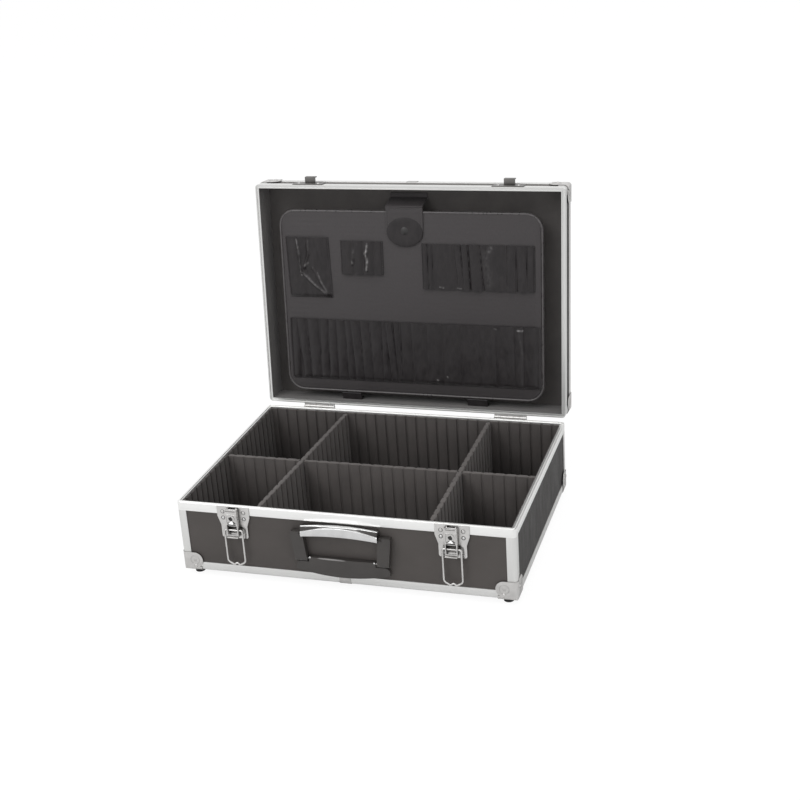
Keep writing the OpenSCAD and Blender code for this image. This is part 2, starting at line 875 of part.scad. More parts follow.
// Channel-shaped lever: cheeks, a box front with the lock's bore, an open window and a finger lip
module latch_lever() {
    cheek_in = plate_t + lever_clear;
    top_z = -lever_pin_drop + lever_end_r;
    color(NICKEL) difference() {
        union() {
            for (x = SIDES) translate([x * (lever_w - lever_t) / 2 - lever_t / 2, 0, 0]) {
                translate([0, -lever_out, -lever_lip_end])
                    cube([lever_t, lever_out - cheek_in, lever_lip_end - lever_pin_drop]);
                translate([0, -lever_pin_out, -lever_pin_drop]) rotate([0, 90, 0])
                    cylinder(r = lever_end_r, h = lever_t);
                translate([0, -lever_out, -lever_pin_drop])
                    cube([lever_t, lever_out - lever_pin_out, lever_end_r]);
            }
            translate([-lever_w / 2, -lever_out, -lever_box_drop])
                cube([lever_w, lever_t, top_z + lever_box_drop]);
            translate([-lever_w / 2, -lever_out, -lever_lip_end])
                cube([lever_w, lever_t, lever_lip_end - lever_lip_top]);
            translate([-lever_w / 2, -lever_out - lever_lip_out, -lever_lip_end])
                cube([lever_w, lever_lip_out + lever_t, lever_t]);
            // Drawn collar round the lock
            translate([0, -lever_out + EPS, -plug_drop]) rotate([90, 0, 0])
                cylinder(r = plug_r + collar_w, h = collar_h);
            // Bent tab under the box front
            translate([-lever_w / 2 + lever_t, tab_in - lever_out, -lever_box_drop - tab_drop])
                cube([lever_w - 2 * lever_t, lever_t, tab_h]);
        }
        translate([0, -lever_out - 1, -plug_drop]) rotate([-90, 0, 0])
            cylinder(r = plug_r + running_fit, h = 4);
        translate([-lever_w, -lever_pin_out, -lever_pin_drop]) rotate([0, 90, 0])
            cylinder(r = lever_pin_r + running_fit, h = 2 * lever_w);
        translate([-lever_w, -bail_out, -bail_drop]) rotate([0, 90, 0])
            cylinder(r = wire_d / 2 + running_fit, h = 2 * lever_w);
        // Recess slot along the top of the box
        translate([-top_slot_w / 2, -lever_out - 1, -lever_pin_drop - top_slot_h / 4])
            cube([top_slot_w, 1 + lever_t / 2, top_slot_h]);
    }
}

module lock_plug() {
    color(NICKEL) translate([0, -lever_out, -plug_drop]) difference() {
        union() {
            translate([0, -plug_proud, 0]) rotate([-90, 0, 0]) cylinder(r = plug_r, h = plug_l);
            translate([-cam_w / 2, plug_l - plug_proud - cam_t, -cam_l]) cube([cam_w, cam_t, cam_l]);
        }
        cube([key_w, 2 * key_deep, key_h], center = true);
        translate([0, -key_deep, key_h / 2 - key_r / 2]) rotate([-90, 0, 0])
            cylinder(r = key_r, h = 2 * key_deep);
    }
}

// Points of an arc in the XZ plane, between two angles up from X
function arc(cx, cz, r, from, to, steps) = [
    for (i = [0 : steps]) let (a = from + (to - from) * i / steps) [cx + r * cos(a), cz + r * sin(a)]
];

// Right half of the bail's centre line, from its top bar down to the eye at its end
function bail_half() = let (
    x = bail_w / 2,
    end_z = wire_d / 2 - bail_l,
    foot_z = end_z + (x - bail_bend * (1 - sin(bail_slope)) - eye_w) * tan(bail_slope),
    knee_z = foot_z + bail_bend * cos(bail_slope)
) concat(
    [[x - top_bend - wire_d / 4, 0]],
    arc(x - top_bend, -top_bend, top_bend, 90, 0, 4),
    arc(x - bail_bend, knee_z, bail_bend, 0, bail_slope - 90, 5),
    [for (i = [5 : -1 : 0]) [eye_w * i / 5, end_z + eye_h * (1 + cos(36 * i)) / 2]]
);

// Tube with flat ends along points of the XZ plane
module planar_tube(path, r, sides) {
    last = len(path) - 1;
    rings = [for (i = [0 : last]) let (
        d = path[min(i + 1, last)] - path[max(i - 1, 0)],
        n = [d[1], -d[0]] / norm(d)
    ) for (k = [0 : sides - 1]) let (a = 360 * k / sides)
        [path[i][0] + r * cos(a) * n[0], r * sin(a), path[i][1] + r * cos(a) * n[1]]];
    skin = [for (i = [0 : last - 1], k = [0 : sides - 1])
        let (a = i * sides + k, b = i * sides + (k + 1) % sides) [a, a + sides, b + sides, b]];
    polyhedron(rings, concat(
        skin,
        [[for (k = [0 : sides - 1]) k]],
        [[for (k = [sides - 1 : -1 : 0]) last * sides + k]]
    ));
}

// Closed wire loop that hangs from its top bar, with a small eye bent up at its end
module bail() {
    half = bail_half();
    last = len(half) - 1;
    bar_l = bail_w - 2 * top_bend;
    color(NICKEL) {
        translate([-bar_l / 2, 0, 0]) rotate([0, 90, 0]) cylinder(d = wire_d, h = bar_l);
        planar_tube(concat(half, [for (i = [last - 1 : -1 : 0]) [-half[i][0], half[i][1]]]), wire_d / 2, 12);
    }
}

module catch() {
    color(NICKEL) {
        difference() {
            translate([-plate_w / 2, -plate_t, catch_rise]) cube([plate_w, plate_t, catch_h]);
            for (x = SIDES) translate([x * latch_rivet_x, 0, latch_rivet_drop + parting_gap])
                rotate([90, 0, 0]) shank_hole();
        }
        translate([-hook_w / 2, -hook_out, hook_arm_rise - hook_t])
            cube([hook_w, hook_out - plate_t, hook_t]);
        translate([-hook_w / 2, -hook_out, hook_arm_rise - hook_t]) cube([hook_w, hook_t, hook_lip + hook_t]);
    }
}

module left_latch_plate() {
    at_latch(-1) latch_plate();
}

module right_latch_plate() {
    at_latch(1) latch_plate();
}

module left_latch_lever() {
    at_latch(-1) latch_lever();
}

module right_latch_lever() {
    at_latch(1) latch_lever();
}

module left_bail() {
    at_latch(-1) translate([0, -bail_out, -bail_drop]) bail();
}

module right_bail() {
    at_latch(1) translate([0, -bail_out, -bail_drop]) bail();
}

module left_lock_plug() {
    at_latch(-1) lock_plug();
}

module right_lock_plug() {
    at_latch(1) lock_plug();
}

module lever_pins() {
    color(NICKEL) for (side = SIDES) at_latch(side) lever_pin();
}

module latch_rivets() {
    color(NICKEL) in_base() latch_rivet_places(base_h - latch_rivet_drop)
        translate([0, 0, plate_t]) rivet(wall_in + plate_t);
}

// ---------- handle ----------

// Outline of one arm, on the right: a bar that leans in towards the pivot
module arm_outline() {
    top_x = handle_w / 2;
    low_x = handle_foot_w / 2;
    top_r = arm_top_r;
    polygon([
        [low_x - arm_w, pivot_z], [low_x, pivot_z],
        [top_x, arm_top_z - top_r], [top_x - top_r, arm_top_z], [top_x - arm_w, arm_top_z]
    ]);
    translate([top_x - top_r, arm_top_z - top_r]) circle(top_r);
}

module handle_loop() {
    low_x = handle_foot_w / 2;
    color(SATIN_BLACK) {
        for (side = [0, 1]) mirror([side, 0, 0]) difference() {
            union() {
                translate([0, handle_pivot_y + arm_end_r, 0]) rotate([90, 0, 0])
                    linear_extrude(arm_t) arm_outline();
                translate([low_x - arm_w, handle_pivot_y, pivot_z]) rotate([0, 90, 0])
                    cylinder(r = arm_end_r, h = arm_w);
            }
            translate([0, handle_pivot_y, pivot_z]) rotate([0, 90, 0])
                cylinder(r = handle_pin_r + running_fit, h = low_x - arm_w + handle_pin_l / 2 + 1);
            grip_section(grip_l / 2 + grip_seat, -grip_seat);
        }
        // Core bar under the grip cover, let into the arms at its ends
        grip_section(grip_l / 2, grip_t + grip_seat);
        intersection() {
            grip_section(grip_l / 2 + core_tenon, grip_t + grip_seat);
            slab(0, arm_top_z - arm_top_r);
        }
    }
}

// Bowed bar of the grip between two end planes, its section shrunk by g
module grip_section(half_l, g) {
    intersection() {
        translate([0, handle_pivot_y + arm_end_r, 0]) rotate([90, 0, 0]) linear_extrude(4 * grip_deep)
            intersection() {
                translate([0, grip_z - bow_r]) difference() {
                    circle(bow_r - g, $fn = 360);
                    circle(bow_r - grip_h + g, $fn = 360);
                }
                translate([0, grip_z - grip_h / 2]) square([2 * half_l, 3 * grip_h], center = true);
            }
        translate([-half_l, grip_y, 0]) rotate([90, 0, 90]) linear_extrude(2 * half_l) {
            translate([0, grip_z - grip_h / 2 - grip_bow / 2])
                round_rect(grip_deep - 2 * g, grip_h + grip_bow + grip_spare - 2 * g, grip_round - g);
        }
    }
}

module grip_cover() {
    color(NICKEL) difference() {
        grip_section(grip_l / 2, 0);
        grip_section(grip_l / 2 + grip_spare, grip_t);
    }
}

// Bracket: a bowed lower bar with two raised cheeks that hold the pivot pins
module handle_base() {
    low_x = handle_foot_w / 2;
    cheek_x = low_x - arm_w - cheek_gap;
    bar_top = handle_bar_z;
    end_r = handle_end_r;
    color(SATIN_BLACK) difference() {
        intersection() {
            translate([0, panel_y, 0]) rotate([90, 0, 0]) linear_extrude(2 * handle_bulge) union() {
                translate([0, (bar_top + handle_bottom_z - sag_spare) / 2])
                    round_rect(2 * low_x, bar_top - handle_bottom_z + sag_spare, end_r);
                translate([-cheek_x, handle_bottom_z + handle_sag])
                    square([2 * cheek_x, pivot_z + cheek_top - handle_bottom_z - handle_sag]);
            }
            translate([0, panel_y - handle_bulge + bulge_r, 0]) cylinder(r = bulge_r, h = rim_z, $fn = 360);
            translate([0, panel_y, handle_bottom_z + sag_r]) rotate([90, 0, 0])
                cylinder(r = sag_r, h = 2 * handle_bulge, $fn = 360);
        }
        handle_pin_places() cylinder(r = handle_pin_r + shank_fit, h = handle_pin_l);
        handle_screw_places() handle_screw(shank_fit);
    }
}

// Start of each pivot pin, with +Z outwards along it
module handle_pin_places() {
    for (side = [0, 1]) mirror([side, 0, 0])
        translate([handle_foot_w / 2 - arm_w - handle_pin_l / 2, handle_pivot_y, pivot_z])
            rotate([0, 90, 0]) children();
}

module handle_pins() {
    color(NICKEL) handle_pin_places() cylinder(r = handle_pin_r, h = handle_pin_l);
}

// Screw places in the front panel's inner face, with +Z outwards through the panel
module handle_screw_places() {
    for (x = SIDES) translate([x * handle_screw_x, front_y + wall_in, (handle_bar_z + handle_bottom_z) / 2])
        rotate([90, 0, 0]) children();
}

// Screw with a sunk head, grown by g
module handle_screw(g) {
    cylinder(r = handle_screw_head_r + g, h = handle_screw_head_h + g);
    cylinder(r = handle_screw_r + g, h = panel_t + handle_screw_bite + g);
}

module handle_screws() {
    color(NICKEL) handle_screw_places() handle_screw(0);
}

// ---------- lid ----------

module lid_front_panel() {
    color(PANEL) in_lid() difference() {
        wall_panel_x(lid_h);
        front_holes(lid_h);
    }
}

module lid_back_panel() {
    color(PANEL) in_lid() difference() {
        mirror([0, 1, 0]) wall_panel_x(lid_h);
        back_holes(lid_h + parting_gap);
    }
}

module lid_side_panels() {
    color(PANEL) in_lid() difference() {
        for (x = [0, 1]) mirror([x, 0, 0]) wall_panel_y(lid_h);
        cap_rivet_places() shank_hole();
    }
}

module lid_top_panel() {
    color(PANEL) in_lid() closing_panel();
}

module lid_rim() {
    color(ALU) in_lid() difference() {
        rim_profile(lid_h);
        translate([0, 0, lid_h + parting_gap - tongue_h - groove_clear])
            rim_ring(tongue_inset - groove_clear, tongue_inset + tongue_w + groove_clear, tongue_h + 1);
        front_holes(lid_h);
        back_holes(lid_h + parting_gap);
    }
}

module lid_top_edge() {
    in_lid() edge_profile(lid_h, false);
}

module lid_corner_posts() {
    in_lid() post_profiles(lid_h);
}

module lid_corner_caps() {
    in_lid() corner_caps(lid_h, false);
}

module lid_seam_clip() {
    in_lid() seam_clip(lid_h);
}

module lid_rivets() {
    color(NICKEL) in_lid() {
        cap_rivet_places() translate([0, 0, cap_t]) rivet(wall_in + cap_t);
        translate([0, 0, lid_h + parting_gap]) hinge_rivet_places(-1)
            translate([0, 0, leaf_t]) rivet(wall_in + leaf_t);
        latch_rivet_places(lid_h - latch_rivet_drop) translate([0, 0, plate_t]) rivet(wall_in + plate_t);
    }
}

// Cloth lining: a tray that covers the lid's panels
module lid_lining() {
    in0 = wall_in;
    in1 = wall_in + lid_lining_t;
    color(LINING) in_lid() difference() {
        translate([in0 - case_w / 2, in0 - case_d / 2, in0])
            cube([case_w - 2 * in0, case_d - 2 * in0, lid_h - rim_web - in0]);
        translate([in1 - case_w / 2, in1 - case_d / 2, in1])
            cube([case_w - 2 * in1, case_d - 2 * in1, lid_h]);
    }
}

module latch_catches() {
    open_lid() for (side = SIDES) at_latch(side) catch();
}

// ---------- tool pallet, drawn in the closed lid ----------

// Rounded plate of the pallet's outline grown by g
module pallet_plate(g, z0, z1) {
    translate([pallet_x, pallet_front_y + pallet_h / 2, z0]) linear_extrude(z1 - z0)
        round_rect(pallet_w + 2 * g, pallet_h + 2 * g, pallet_r + g);
}

module pallet_board() {
    color(BOARD) open_lid() pallet_plate(-piping_w, pallet_z, pallet_z + board_t);
}

module pallet_piping() {
    color(BOARD) open_lid() difference() {
        pallet_plate(0, pallet_z - piping_proud, pallet_z + board_t + piping_proud);
        pallet_plate(-piping_w, pallet_z - 1, pallet_z + board_t + 1);
    }
}

// Flat pocket on the board's face, open towards the lid's front: placed by the distances of
// its left and top edges from the pallet's own, with its width, its height and its closed end
module pocket(left, top, w, h, closed) {
    translate([pallet_x - pallet_w / 2 + left, pallet_front_y + top, pallet_z - pocket_out]) difference() {
        cube([w, h, pocket_out]);
        translate([pocket_t, -1, pocket_t])
            cube([w - 2 * pocket_t, h + (closed ? 1 - pocket_t : 2), pocket_out]);
    }
}

module tall_pocket() {
    color(VINYL) open_lid() pocket(tall_left, tall_top, tall_w, tall_h, true);
}

module short_pocket() {
    color(VINYL) open_lid() pocket(short_left, short_top, short_w, short_h, false);
}

module upper_tool_loops() {
    color(VINYL) open_lid() pocket(loops_left, loops_top, loops_w, loops_h, false);
}

module lower_tool_pocket() {
    color(VINYL) open_lid() pocket(lower_left, lower_top, lower_w, lower_h, true);
}

// Strap from the lid's lining down to the pallet's top edge
module top_strap() {
    root_z = lid_top_z - wall_in - lid_lining_t;
    edge_z = pallet_z - piping_proud;
    root_y = front_y + strap_root;
    end_y = pallet_front_y - tongue_lead - soft_gap;
    color(BOARD) open_lid() translate([stud_x - strap_w / 2, 0, 0]) rotate([90, 0, 90])
        linear_extrude(strap_w) polygon([
            [root_y, root_z], [root_y, root_z - strap_t], [root_y + strap_foot, root_z - strap_t],
            [end_y - strap_t, edge_z - strap_t], [end_y, edge_z - strap_t], [end_y, edge_z],
            [root_y + strap_foot + strap_t, root_z]
        ]);
}

// Tongue of the strap on the pallet's face, with a round end
module strap_tongue() {
    round_y = tongue_l - strap_w / 2;
    color(BOARD) open_lid() difference() {
        translate([stud_x, pallet_front_y - tongue_lead, pallet_z - piping_proud - strap_t])
            linear_extrude(strap_t) {
                translate([0, round_y]) circle(strap_w / 2);
                translate([-strap_w / 2, 0]) square([strap_w, round_y]);
            }
        translate([stud_x, stud_y, pallet_z])
            cylinder(r = stud_shank_r + shank_fit, h = 4 * strap_t, center = true);
    }
}

module strap_stud() {
    color(VINYL) open_lid() translate([stud_x, stud_y, pallet_z]) mirror([0, 0, 1]) {
        cylinder(r = stud_shank_r, h = piping_proud + strap_t);
        translate([0, 0, piping_proud + strap_t]) dome(stud_r, stud_h);
    }
}

// Straps from the lid's rear wall, each ending in a bead that the pallet's edge turns about
module pallet_hinge_straps() {
    wall_y = back_y - rim_w;
    low_z = pallet_axis_z + strap_fall;
    high_z = low_z + strap_seam;
    color(VINYL) open_lid() for (side = SIDES)
        translate([pallet_x + side * hinge_strap_x - hinge_strap_w / 2, 0, 0]) rotate([90, 0, 90])
            linear_extrude(hinge_strap_w) {
                translate([pallet_axis_y, pallet_axis_z]) circle(bead_r);
                polygon([
                    [pallet_axis_y, pallet_axis_z - strap_t / 2], [wall_y - strap_t, low_z - strap_t],
                    [wall_y, low_z - strap_t], [wall_y, high_z], [wall_y - strap_t, high_z],
                    [wall_y - strap_t, low_z + strap_t / 2], [pallet_axis_y, pallet_axis_z + strap_t / 2]
                ]);
            }
}

base_front_panel();
base_back_panel();
base_side_panels();
base_bottom_panel();
base_rim();
base_bottom_edge();
base_corner_posts();
base_corner_caps();
base_rivets();
base_seam_clip();
feet();
foot_screws();
lining_front();
lining_back();
lining_sides();
floor_pad();
long_divider();
left_cross_divider();
right_cross_divider();
left_latch_plate();
right_latch_plate();
left_latch_lever();
right_latch_lever();
left_bail();
right_bail();
left_lock_plug();
right_lock_plug();
lever_pins();
latch_rivets();
handle_base();
handle_loop();
grip_cover();
handle_pins();
handle_screws();
hinge_base_leaves();
hinge_lid_leaves();
hinge_pins();
lid_front_panel();
lid_back_panel();
lid_side_panels();
lid_top_panel();
lid_rim();
lid_top_edge();
lid_corner_posts();
lid_corner_caps();
lid_rivets();
lid_seam_clip();
lid_lining();
latch_catches();
pallet_board();
pallet_piping();
tall_pocket();
short_pocket();
upper_tool_loops();
lower_tool_pocket();
top_strap();
strap_tongue();
strap_stud();
pallet_hinge_straps();
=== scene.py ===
"""Dresses an aluminium-edged art supply case whose lid stands open.

The solid model gives every piece its place. This script gives each one its finish, and builds the
soft, bent and repeated pieces as detailed meshes. Lengths are in millimetres, in the bodies' own
spaces: the base stands upright, and the lid is drawn shut and then turned open.
"""

import json
import logging
import math
import random
from collections.abc import Callable, Sequence
from dataclasses import dataclass
from enum import Enum
from functools import cache

import bmesh
import bpy
from mathutils import Matrix, Vector, noise


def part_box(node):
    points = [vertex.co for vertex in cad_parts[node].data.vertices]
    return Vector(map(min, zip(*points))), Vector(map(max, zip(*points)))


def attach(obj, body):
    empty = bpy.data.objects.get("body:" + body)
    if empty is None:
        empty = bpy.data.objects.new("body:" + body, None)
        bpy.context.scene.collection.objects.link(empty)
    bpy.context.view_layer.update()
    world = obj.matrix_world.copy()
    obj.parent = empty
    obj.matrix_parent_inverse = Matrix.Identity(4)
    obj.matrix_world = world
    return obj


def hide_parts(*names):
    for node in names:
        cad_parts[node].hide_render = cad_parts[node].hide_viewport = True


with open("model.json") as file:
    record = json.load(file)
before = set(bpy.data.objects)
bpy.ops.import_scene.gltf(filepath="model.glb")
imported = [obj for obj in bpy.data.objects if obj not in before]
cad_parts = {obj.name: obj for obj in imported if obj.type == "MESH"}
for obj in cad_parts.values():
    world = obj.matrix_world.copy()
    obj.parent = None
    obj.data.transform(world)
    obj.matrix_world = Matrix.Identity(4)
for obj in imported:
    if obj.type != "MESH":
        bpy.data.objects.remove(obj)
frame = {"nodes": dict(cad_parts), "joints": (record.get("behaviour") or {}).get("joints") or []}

LOG = logging.getLogger("case")
MM = 0.001
SHARP = math.radians(35)
LID_OPEN = math.radians(95)
LID_BODIES = ("lid", "pallet")
HINGE = Vector(next(j["pos_m"] for j in frame["joints"] if j["name"] == "lid_hinge")) / MM
Pair = tuple[float, float]
Point = tuple[float, float, float]
Socket = bpy.types.NodeSocket
Inputs = dict[str | int, object]


def to_frame(body: str) -> Matrix:
    """Matrix to the frame, in metres, from the space that a body's pieces are drawn in.

    Args:
        body: Name of the body.

    Returns:
        The matrix.
    """
    metres = Matrix.Scale(MM, 4)
    if body not in LID_BODIES:
        return metres
    turn = Matrix.Rotation(-LID_OPEN, 4, "X")
    return metres @ Matrix.Translation(HINGE) @ turn @ Matrix.Translation(-HINGE)


def node_box(node: str) -> list[Vector]:
    """Lowest and highest corner of a CAD node at rest, in millimetres."""
    return [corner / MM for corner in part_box(node)]


def circle(count: int) -> list[Pair]:
    """Cosines and sines of equal steps round a circle."""
    return [(math.cos(a), math.sin(a)) for a in (2 * math.pi * k / count for k in range(count))]


# ---------------------------------------------------------------- node trees


class Tree:
    """Short way to write a node tree."""

    def __init__(self, tree: bpy.types.NodeTree) -> None:
        """Takes the tree to write."""
        self.tree = tree

    def fill(self, socket: Socket, value: object) -> None:
        """Links an input to another socket, or sets it to a constant.

        Args:
            socket: The input to fill.
            value: The other socket, or the constant.
        """
        if isinstance(value, Socket):
            self.tree.links.new(value, socket)
        else:
            socket.default_value = value

    def node(self, kind: str, inputs: Inputs | None = None, **settings: object) -> bpy.types.Node:
        """Adds a node.

        Args:
            kind: Type of the node.
            inputs: Its inputs, by name or number, as sockets or constants.
            settings: Its properties.

        Returns:
            The node.
        """
        made = self.tree.nodes.new(kind)
        for key, value in settings.items():
            setattr(made, key, value)
        for key, value in (inputs or {}).items():
            self.fill(made.inputs[key], value)
        return made


class Shader(Tree):
    """A material's nodes. Patterns are given as repeats per metre, alike or along each axis."""

    def __init__(self, name: str) -> None:
        """Starts a material with a Principled shader.

        Args:
            name: Name of the material.
        """
        self.material = bpy.data.materials.new(name)
        self.material.use_nodes = True
        super().__init__(self.material.node_tree)
        self.surface = self.tree.nodes["Principled BSDF"]
        self.coords = self.node("ShaderNodeTexCoord").outputs["Object"]

    def place(self, scale: float | Point, turn: float) -> Socket:
        """Coordinates of the surface, stretched and turned.

        Args:
            scale: Repeats per metre.
            turn: Turn about X, in radians, which straightens what lies in the open lid.

        Returns:
            The vector.
        """
        scale = scale if isinstance(scale, tuple) else (scale,) * 3
        inputs = {"Vector": self.coords, "Rotation": (turn, 0, 0), "Scale": scale}
        return self.node("ShaderNodeMapping", inputs).outputs["Vector"]

    def noise(
        self, scale: float | Point, detail: float = 3.0, rough: float = 0.5, turn: float = 0.0
    ) -> Socket:
        """Cloudy noise.

        Args:
            scale: Repeats per metre.
            detail: Number of octaves.
            rough: Weight of the finer octaves.
            turn: Turn about X, in radians.

        Returns:
            A value around 0.5.
        """
        inputs = {"Vector": self.place(scale, turn), "Scale": 1.0, "Detail": detail, "Roughness": rough}
        return self.node("ShaderNodeTexNoise", inputs).outputs["Fac"]

    def cells(self, scale: float) -> Socket:
        """Distance to the nearest middle in a field of cells."""
        inputs = {"Vector": self.place(scale, 0.0), "Scale": 1.0}
        return self.node("ShaderNodeTexVoronoi", inputs, feature="F1").outputs["Distance"]

    def wave(self, scale: Point, along: str, turn: float) -> Socket:
        """Sine bands that follow one another along an axis, X, Y or Z."""
        inputs, kind = {"Vector": self.place(scale, turn), "Scale": 1.0}, "ShaderNodeTexWave"
        return self.node(kind, inputs, wave_type="BANDS", bands_direction=along).outputs["Fac"]

    def span(
        self, value: Socket, low: float, high: float, to_low: float = 0.0, to_high: float = 1.0
    ) -> Socket:
        """Maps a value from one range to another and holds it there.

        Args:
            value: The value to map.
            low: Its lower end.
            high: Its upper end.
            to_low: Result at the lower end.
            to_high: Result at the upper end.

        Returns:
            The mapped value.
        """
        inputs = {"Value": value, "From Min": low, "From Max": high, "To Min": to_low, "To Max": to_high}
        return self.node("ShaderNodeMapRange", inputs, clamp=True).outputs["Result"]

    def math(self, operation: str, *values: object) -> Socket:
        """Result of one arithmetic step on sockets or numbers."""
        return self.node("ShaderNodeMath", dict(enumerate(values)), operation=operation).outputs["Value"]

    def blend(self, share: Socket, first: object, second: object) -> Socket:
        """Mixes two colours.

        Args:
            share: Share of the second colour.
            first: Colour at 0, as a socket or a colour.
            second: Colour at 1.

        Returns:
            The mixed colour.
        """
        inputs: Inputs = {"Factor": share}
        for key, value in ((6, first), (7, second)):
            inputs[key] = (*value, 1.0) if isinstance(value, tuple) else value
        return self.node("ShaderNodeMix", inputs, data_type="RGBA").outputs[2]

    def tint(self, share: Socket, colour: Point, dark: float, light: float = 1.0) -> Socket:
        """Runs from a darker to a lighter version of a colour.

        Args:
            share: Share of the lighter one.
            colour: The plain colour.
            dark: Factor of the darker one.
            light: Factor of the lighter one.

        Returns:
            The mixed colour.
        """
        return self.blend(share, *(tuple(min(1.0, c * factor) for c in colour) for factor in (dark, light)))

    def bump(self, height: Socket, depth: float, below: Socket | None = None) -> Socket:
        """Relief from a height field.

        Args:
            height: Height from 0 to 1.
            depth: Real depth of the relief, in metres.
            below: Normal of a coarser relief that this one lies on.

        Returns:
            The normal.
        """
        inputs = {"Strength": 1.0, "Distance": depth, "Height": height}
        if below is not None:
            inputs["Normal"] = below
        return self.node("ShaderNodeBump", inputs).outputs["Normal"]

    def corner_shade(self, reach: float) -> Socket:
        """Share of painted shade, which darkens corners within a reach in metres."""
        openness = self.node("ShaderNodeAmbientOcclusion", {"Distance": reach}, samples=8).outputs["AO"]
        return self.span(openness, 0.35, 0.9, 1.0, 0.0)

    def finish(self, **inputs: object) -> None:
        """Fills the Principled shader's inputs.

        Args:
            inputs: Values or sockets by input name, with _ for a space.
        """
        for key, value in inputs.items():
            self.fill(self.surface.inputs[key.replace("_", " ")], value)


# ---------------------------------------------------------------- finishes


class Run(Enum):
    """How the drawn lines of an aluminium profile run."""

    AROUND = "round the case, level"
    UPRIGHT = "up the corners"


@dataclass(frozen=True)
class AluminiumFinish:
    """Satin anodised aluminium with the faint lines of the die it was drawn through."""

    run: Run
    colour: Point = (0.73, 0.73, 0.72)
    turn: float = 0.0
    roughness: float = 0.34
    lines_per_metre: float = 1400.0
    stretch: float = 3.0
    side_at: float = 0.2215

    def build(self, s: Shader) -> None:
        """Fills the material.

        Args:
            s: Its shader.
        """
        fine, long = self.lines_per_metre, self.stretch
        if self.run is Run.UPRIGHT:
            lines = s.noise((fine, fine, long), 4.0, 0.6, self.turn)
        else:
            # Lines follow X on the front and back, and the depth of the case on its sides
            across = s.noise((long, fine, fine), 4.0, 0.6, self.turn)
            deep = s.noise((fine, long, fine), 4.0, 0.6, self.turn)
            apart = s.node("ShaderNodeSeparateXYZ", {0: s.coords})
            at_side = s.math("GREATER_THAN", s.math("ABSOLUTE", apart.outputs["X"]), self.side_at)
            mixed = s.node("ShaderNodeMix", {"Factor": at_side, 2: across, 3: deep}, data_type="FLOAT")
            lines = mixed.outputs[0]
        cloud = s.noise(14.0, 2.0)
        tone = s.math("ADD", s.span(lines, 0.35, 0.65, -0.06, 0.04), s.span(cloud, 0.3, 0.7, 0.93, 1.0))
        s.finish(
            Base_Color=s.tint(tone, self.colour, 0.72),
            Metallic=0.88,
            Roughness=s.span(lines, 0.3, 0.7, self.roughness - 0.05, self.roughness + 0.08),
            Normal=s.bump(lines, 0.00002),
        )


@dataclass(frozen=True)
class NickelFinish:
    """Nickel plating over pressed steel, from satin to bright, with painted shade in its corners."""

    colour: Point = (0.66, 0.65, 0.64)
    roughness: float = 0.22
    scratches: float = 0.05
    corner_shade_strength: float = 0.9
    corner_shade_reach: float = 0.005
    corner_shade_colour: Point = (0.05, 0.048, 0.045)

    def build(self, s: Shader) -> None:
        """Fills the material.

        Args:
            s: Its shader.
        """
        cloud = s.noise(90.0)
        fine = s.noise((4200, 900, 2600), 2.0, 0.7)
        wear_and_painted_highlight = s.math("ADD", *(s.span(mark, 0.3, 0.7, 0.0, self.scratches) for mark in (cloud, fine)))
        clean = s.tint(s.span(cloud, 0.3, 0.75), self.colour, 0.86)
        # Painted shade: corners and crevices darken towards a dark grey
        shade_share = s.math("MULTIPLY", s.corner_shade(self.corner_shade_reach), self.corner_shade_strength)
        s.finish(
            Base_Color=s.blend(shade_share, clean, self.corner_shade_colour),
            Metallic=1.0,
            Roughness=s.math("ADD", wear_and_painted_highlight, self.roughness),
            Normal=s.bump(fine, 0.000006),
        )


@dataclass(frozen=True)
class PanelFinish:
    """Black laminate with a fine pebbled grain and a little handling shine."""

    colour: Point = (0.078, 0.070, 0.066)
    gloss: float = 0.26
    grain_per_metre: float = 1500.0

    def build(self, s: Shader) -> None:
        """Fills the material.

        Args:
            s: Its shader.
        """
        grain = s.cells(self.grain_per_metre)
        cloud = s.noise((7, 7, 11), 4.0, 0.55)
        rub = s.noise((60, 60, 18), 3.0, 0.6)
        s.finish(
            Base_Color=s.tint(s.span(cloud, 0.3, 0.7), self.colour, 0.86, 1.12),
            Roughness=s.math(
                "ADD", s.span(rub, 0.35, 0.7, 0.46, 0.56), s.span(grain, 0.0, 0.8, 0.04, -0.03)
            ),
            Specular_IOR_Level=self.gloss,
            Normal=s.bump(grain, 0.00008),
        )


@dataclass(frozen=True)
class MouldedFinish:
    """Moulded plastic with a fine spark texture and softly worn high spots."""

    colour: Point = (0.047, 0.0425, 0.040)
    roughness: float = 0.42
    texture_per_metre: float = 2600.0

    def build(self, s: Shader) -> None:
        """Fills the material.

        Args:
            s: Its shader.
        """
        spark = s.noise(self.texture_per_metre, 2.0, 0.6)
        cloud = s.noise(30.0)
        s.finish(
            Base_Color=s.tint(s.span(cloud, 0.3, 0.7), self.colour, 0.9, 1.1),
            Roughness=s.span(cloud, 0.3, 0.7, self.roughness - 0.06, self.roughness + 0.05),
            Normal=s.bump(spark, 0.00003),
        )


@dataclass(frozen=True)
class FeltFinish:
    """Short felt or foamed board: matt, slightly uneven, with a soft sheen at the rims."""

    colour: Point = (0.085, 0.078, 0.075)
    fibre_per_metre: float = 2200.0
    fuzz: float = 0.25
    roughness: float = 0.85

    def build(self, s: Shader) -> None:
        """Fills the material.

        Args:
            s: Its shader.
        """
        n = self.fibre_per_metre
        fibre = s.noise((n, n, n * 0.6), 4.0, 0.7)
        cloud = s.noise(26.0, 4.0, 0.6)
        tone = s.math("ADD", s.span(cloud, 0.3, 0.7, 0.0, 0.6), s.span(fibre, 0.3, 0.7, 0.0, 0.4))
        s.finish(
            Base_Color=s.tint(tone, self.colour, 0.8, 1.25),
            Roughness=self.roughness,
            Sheen_Weight=self.fuzz,
            Sheen_Roughness=0.6,
            Normal=s.bump(fibre, 0.00012),
        )


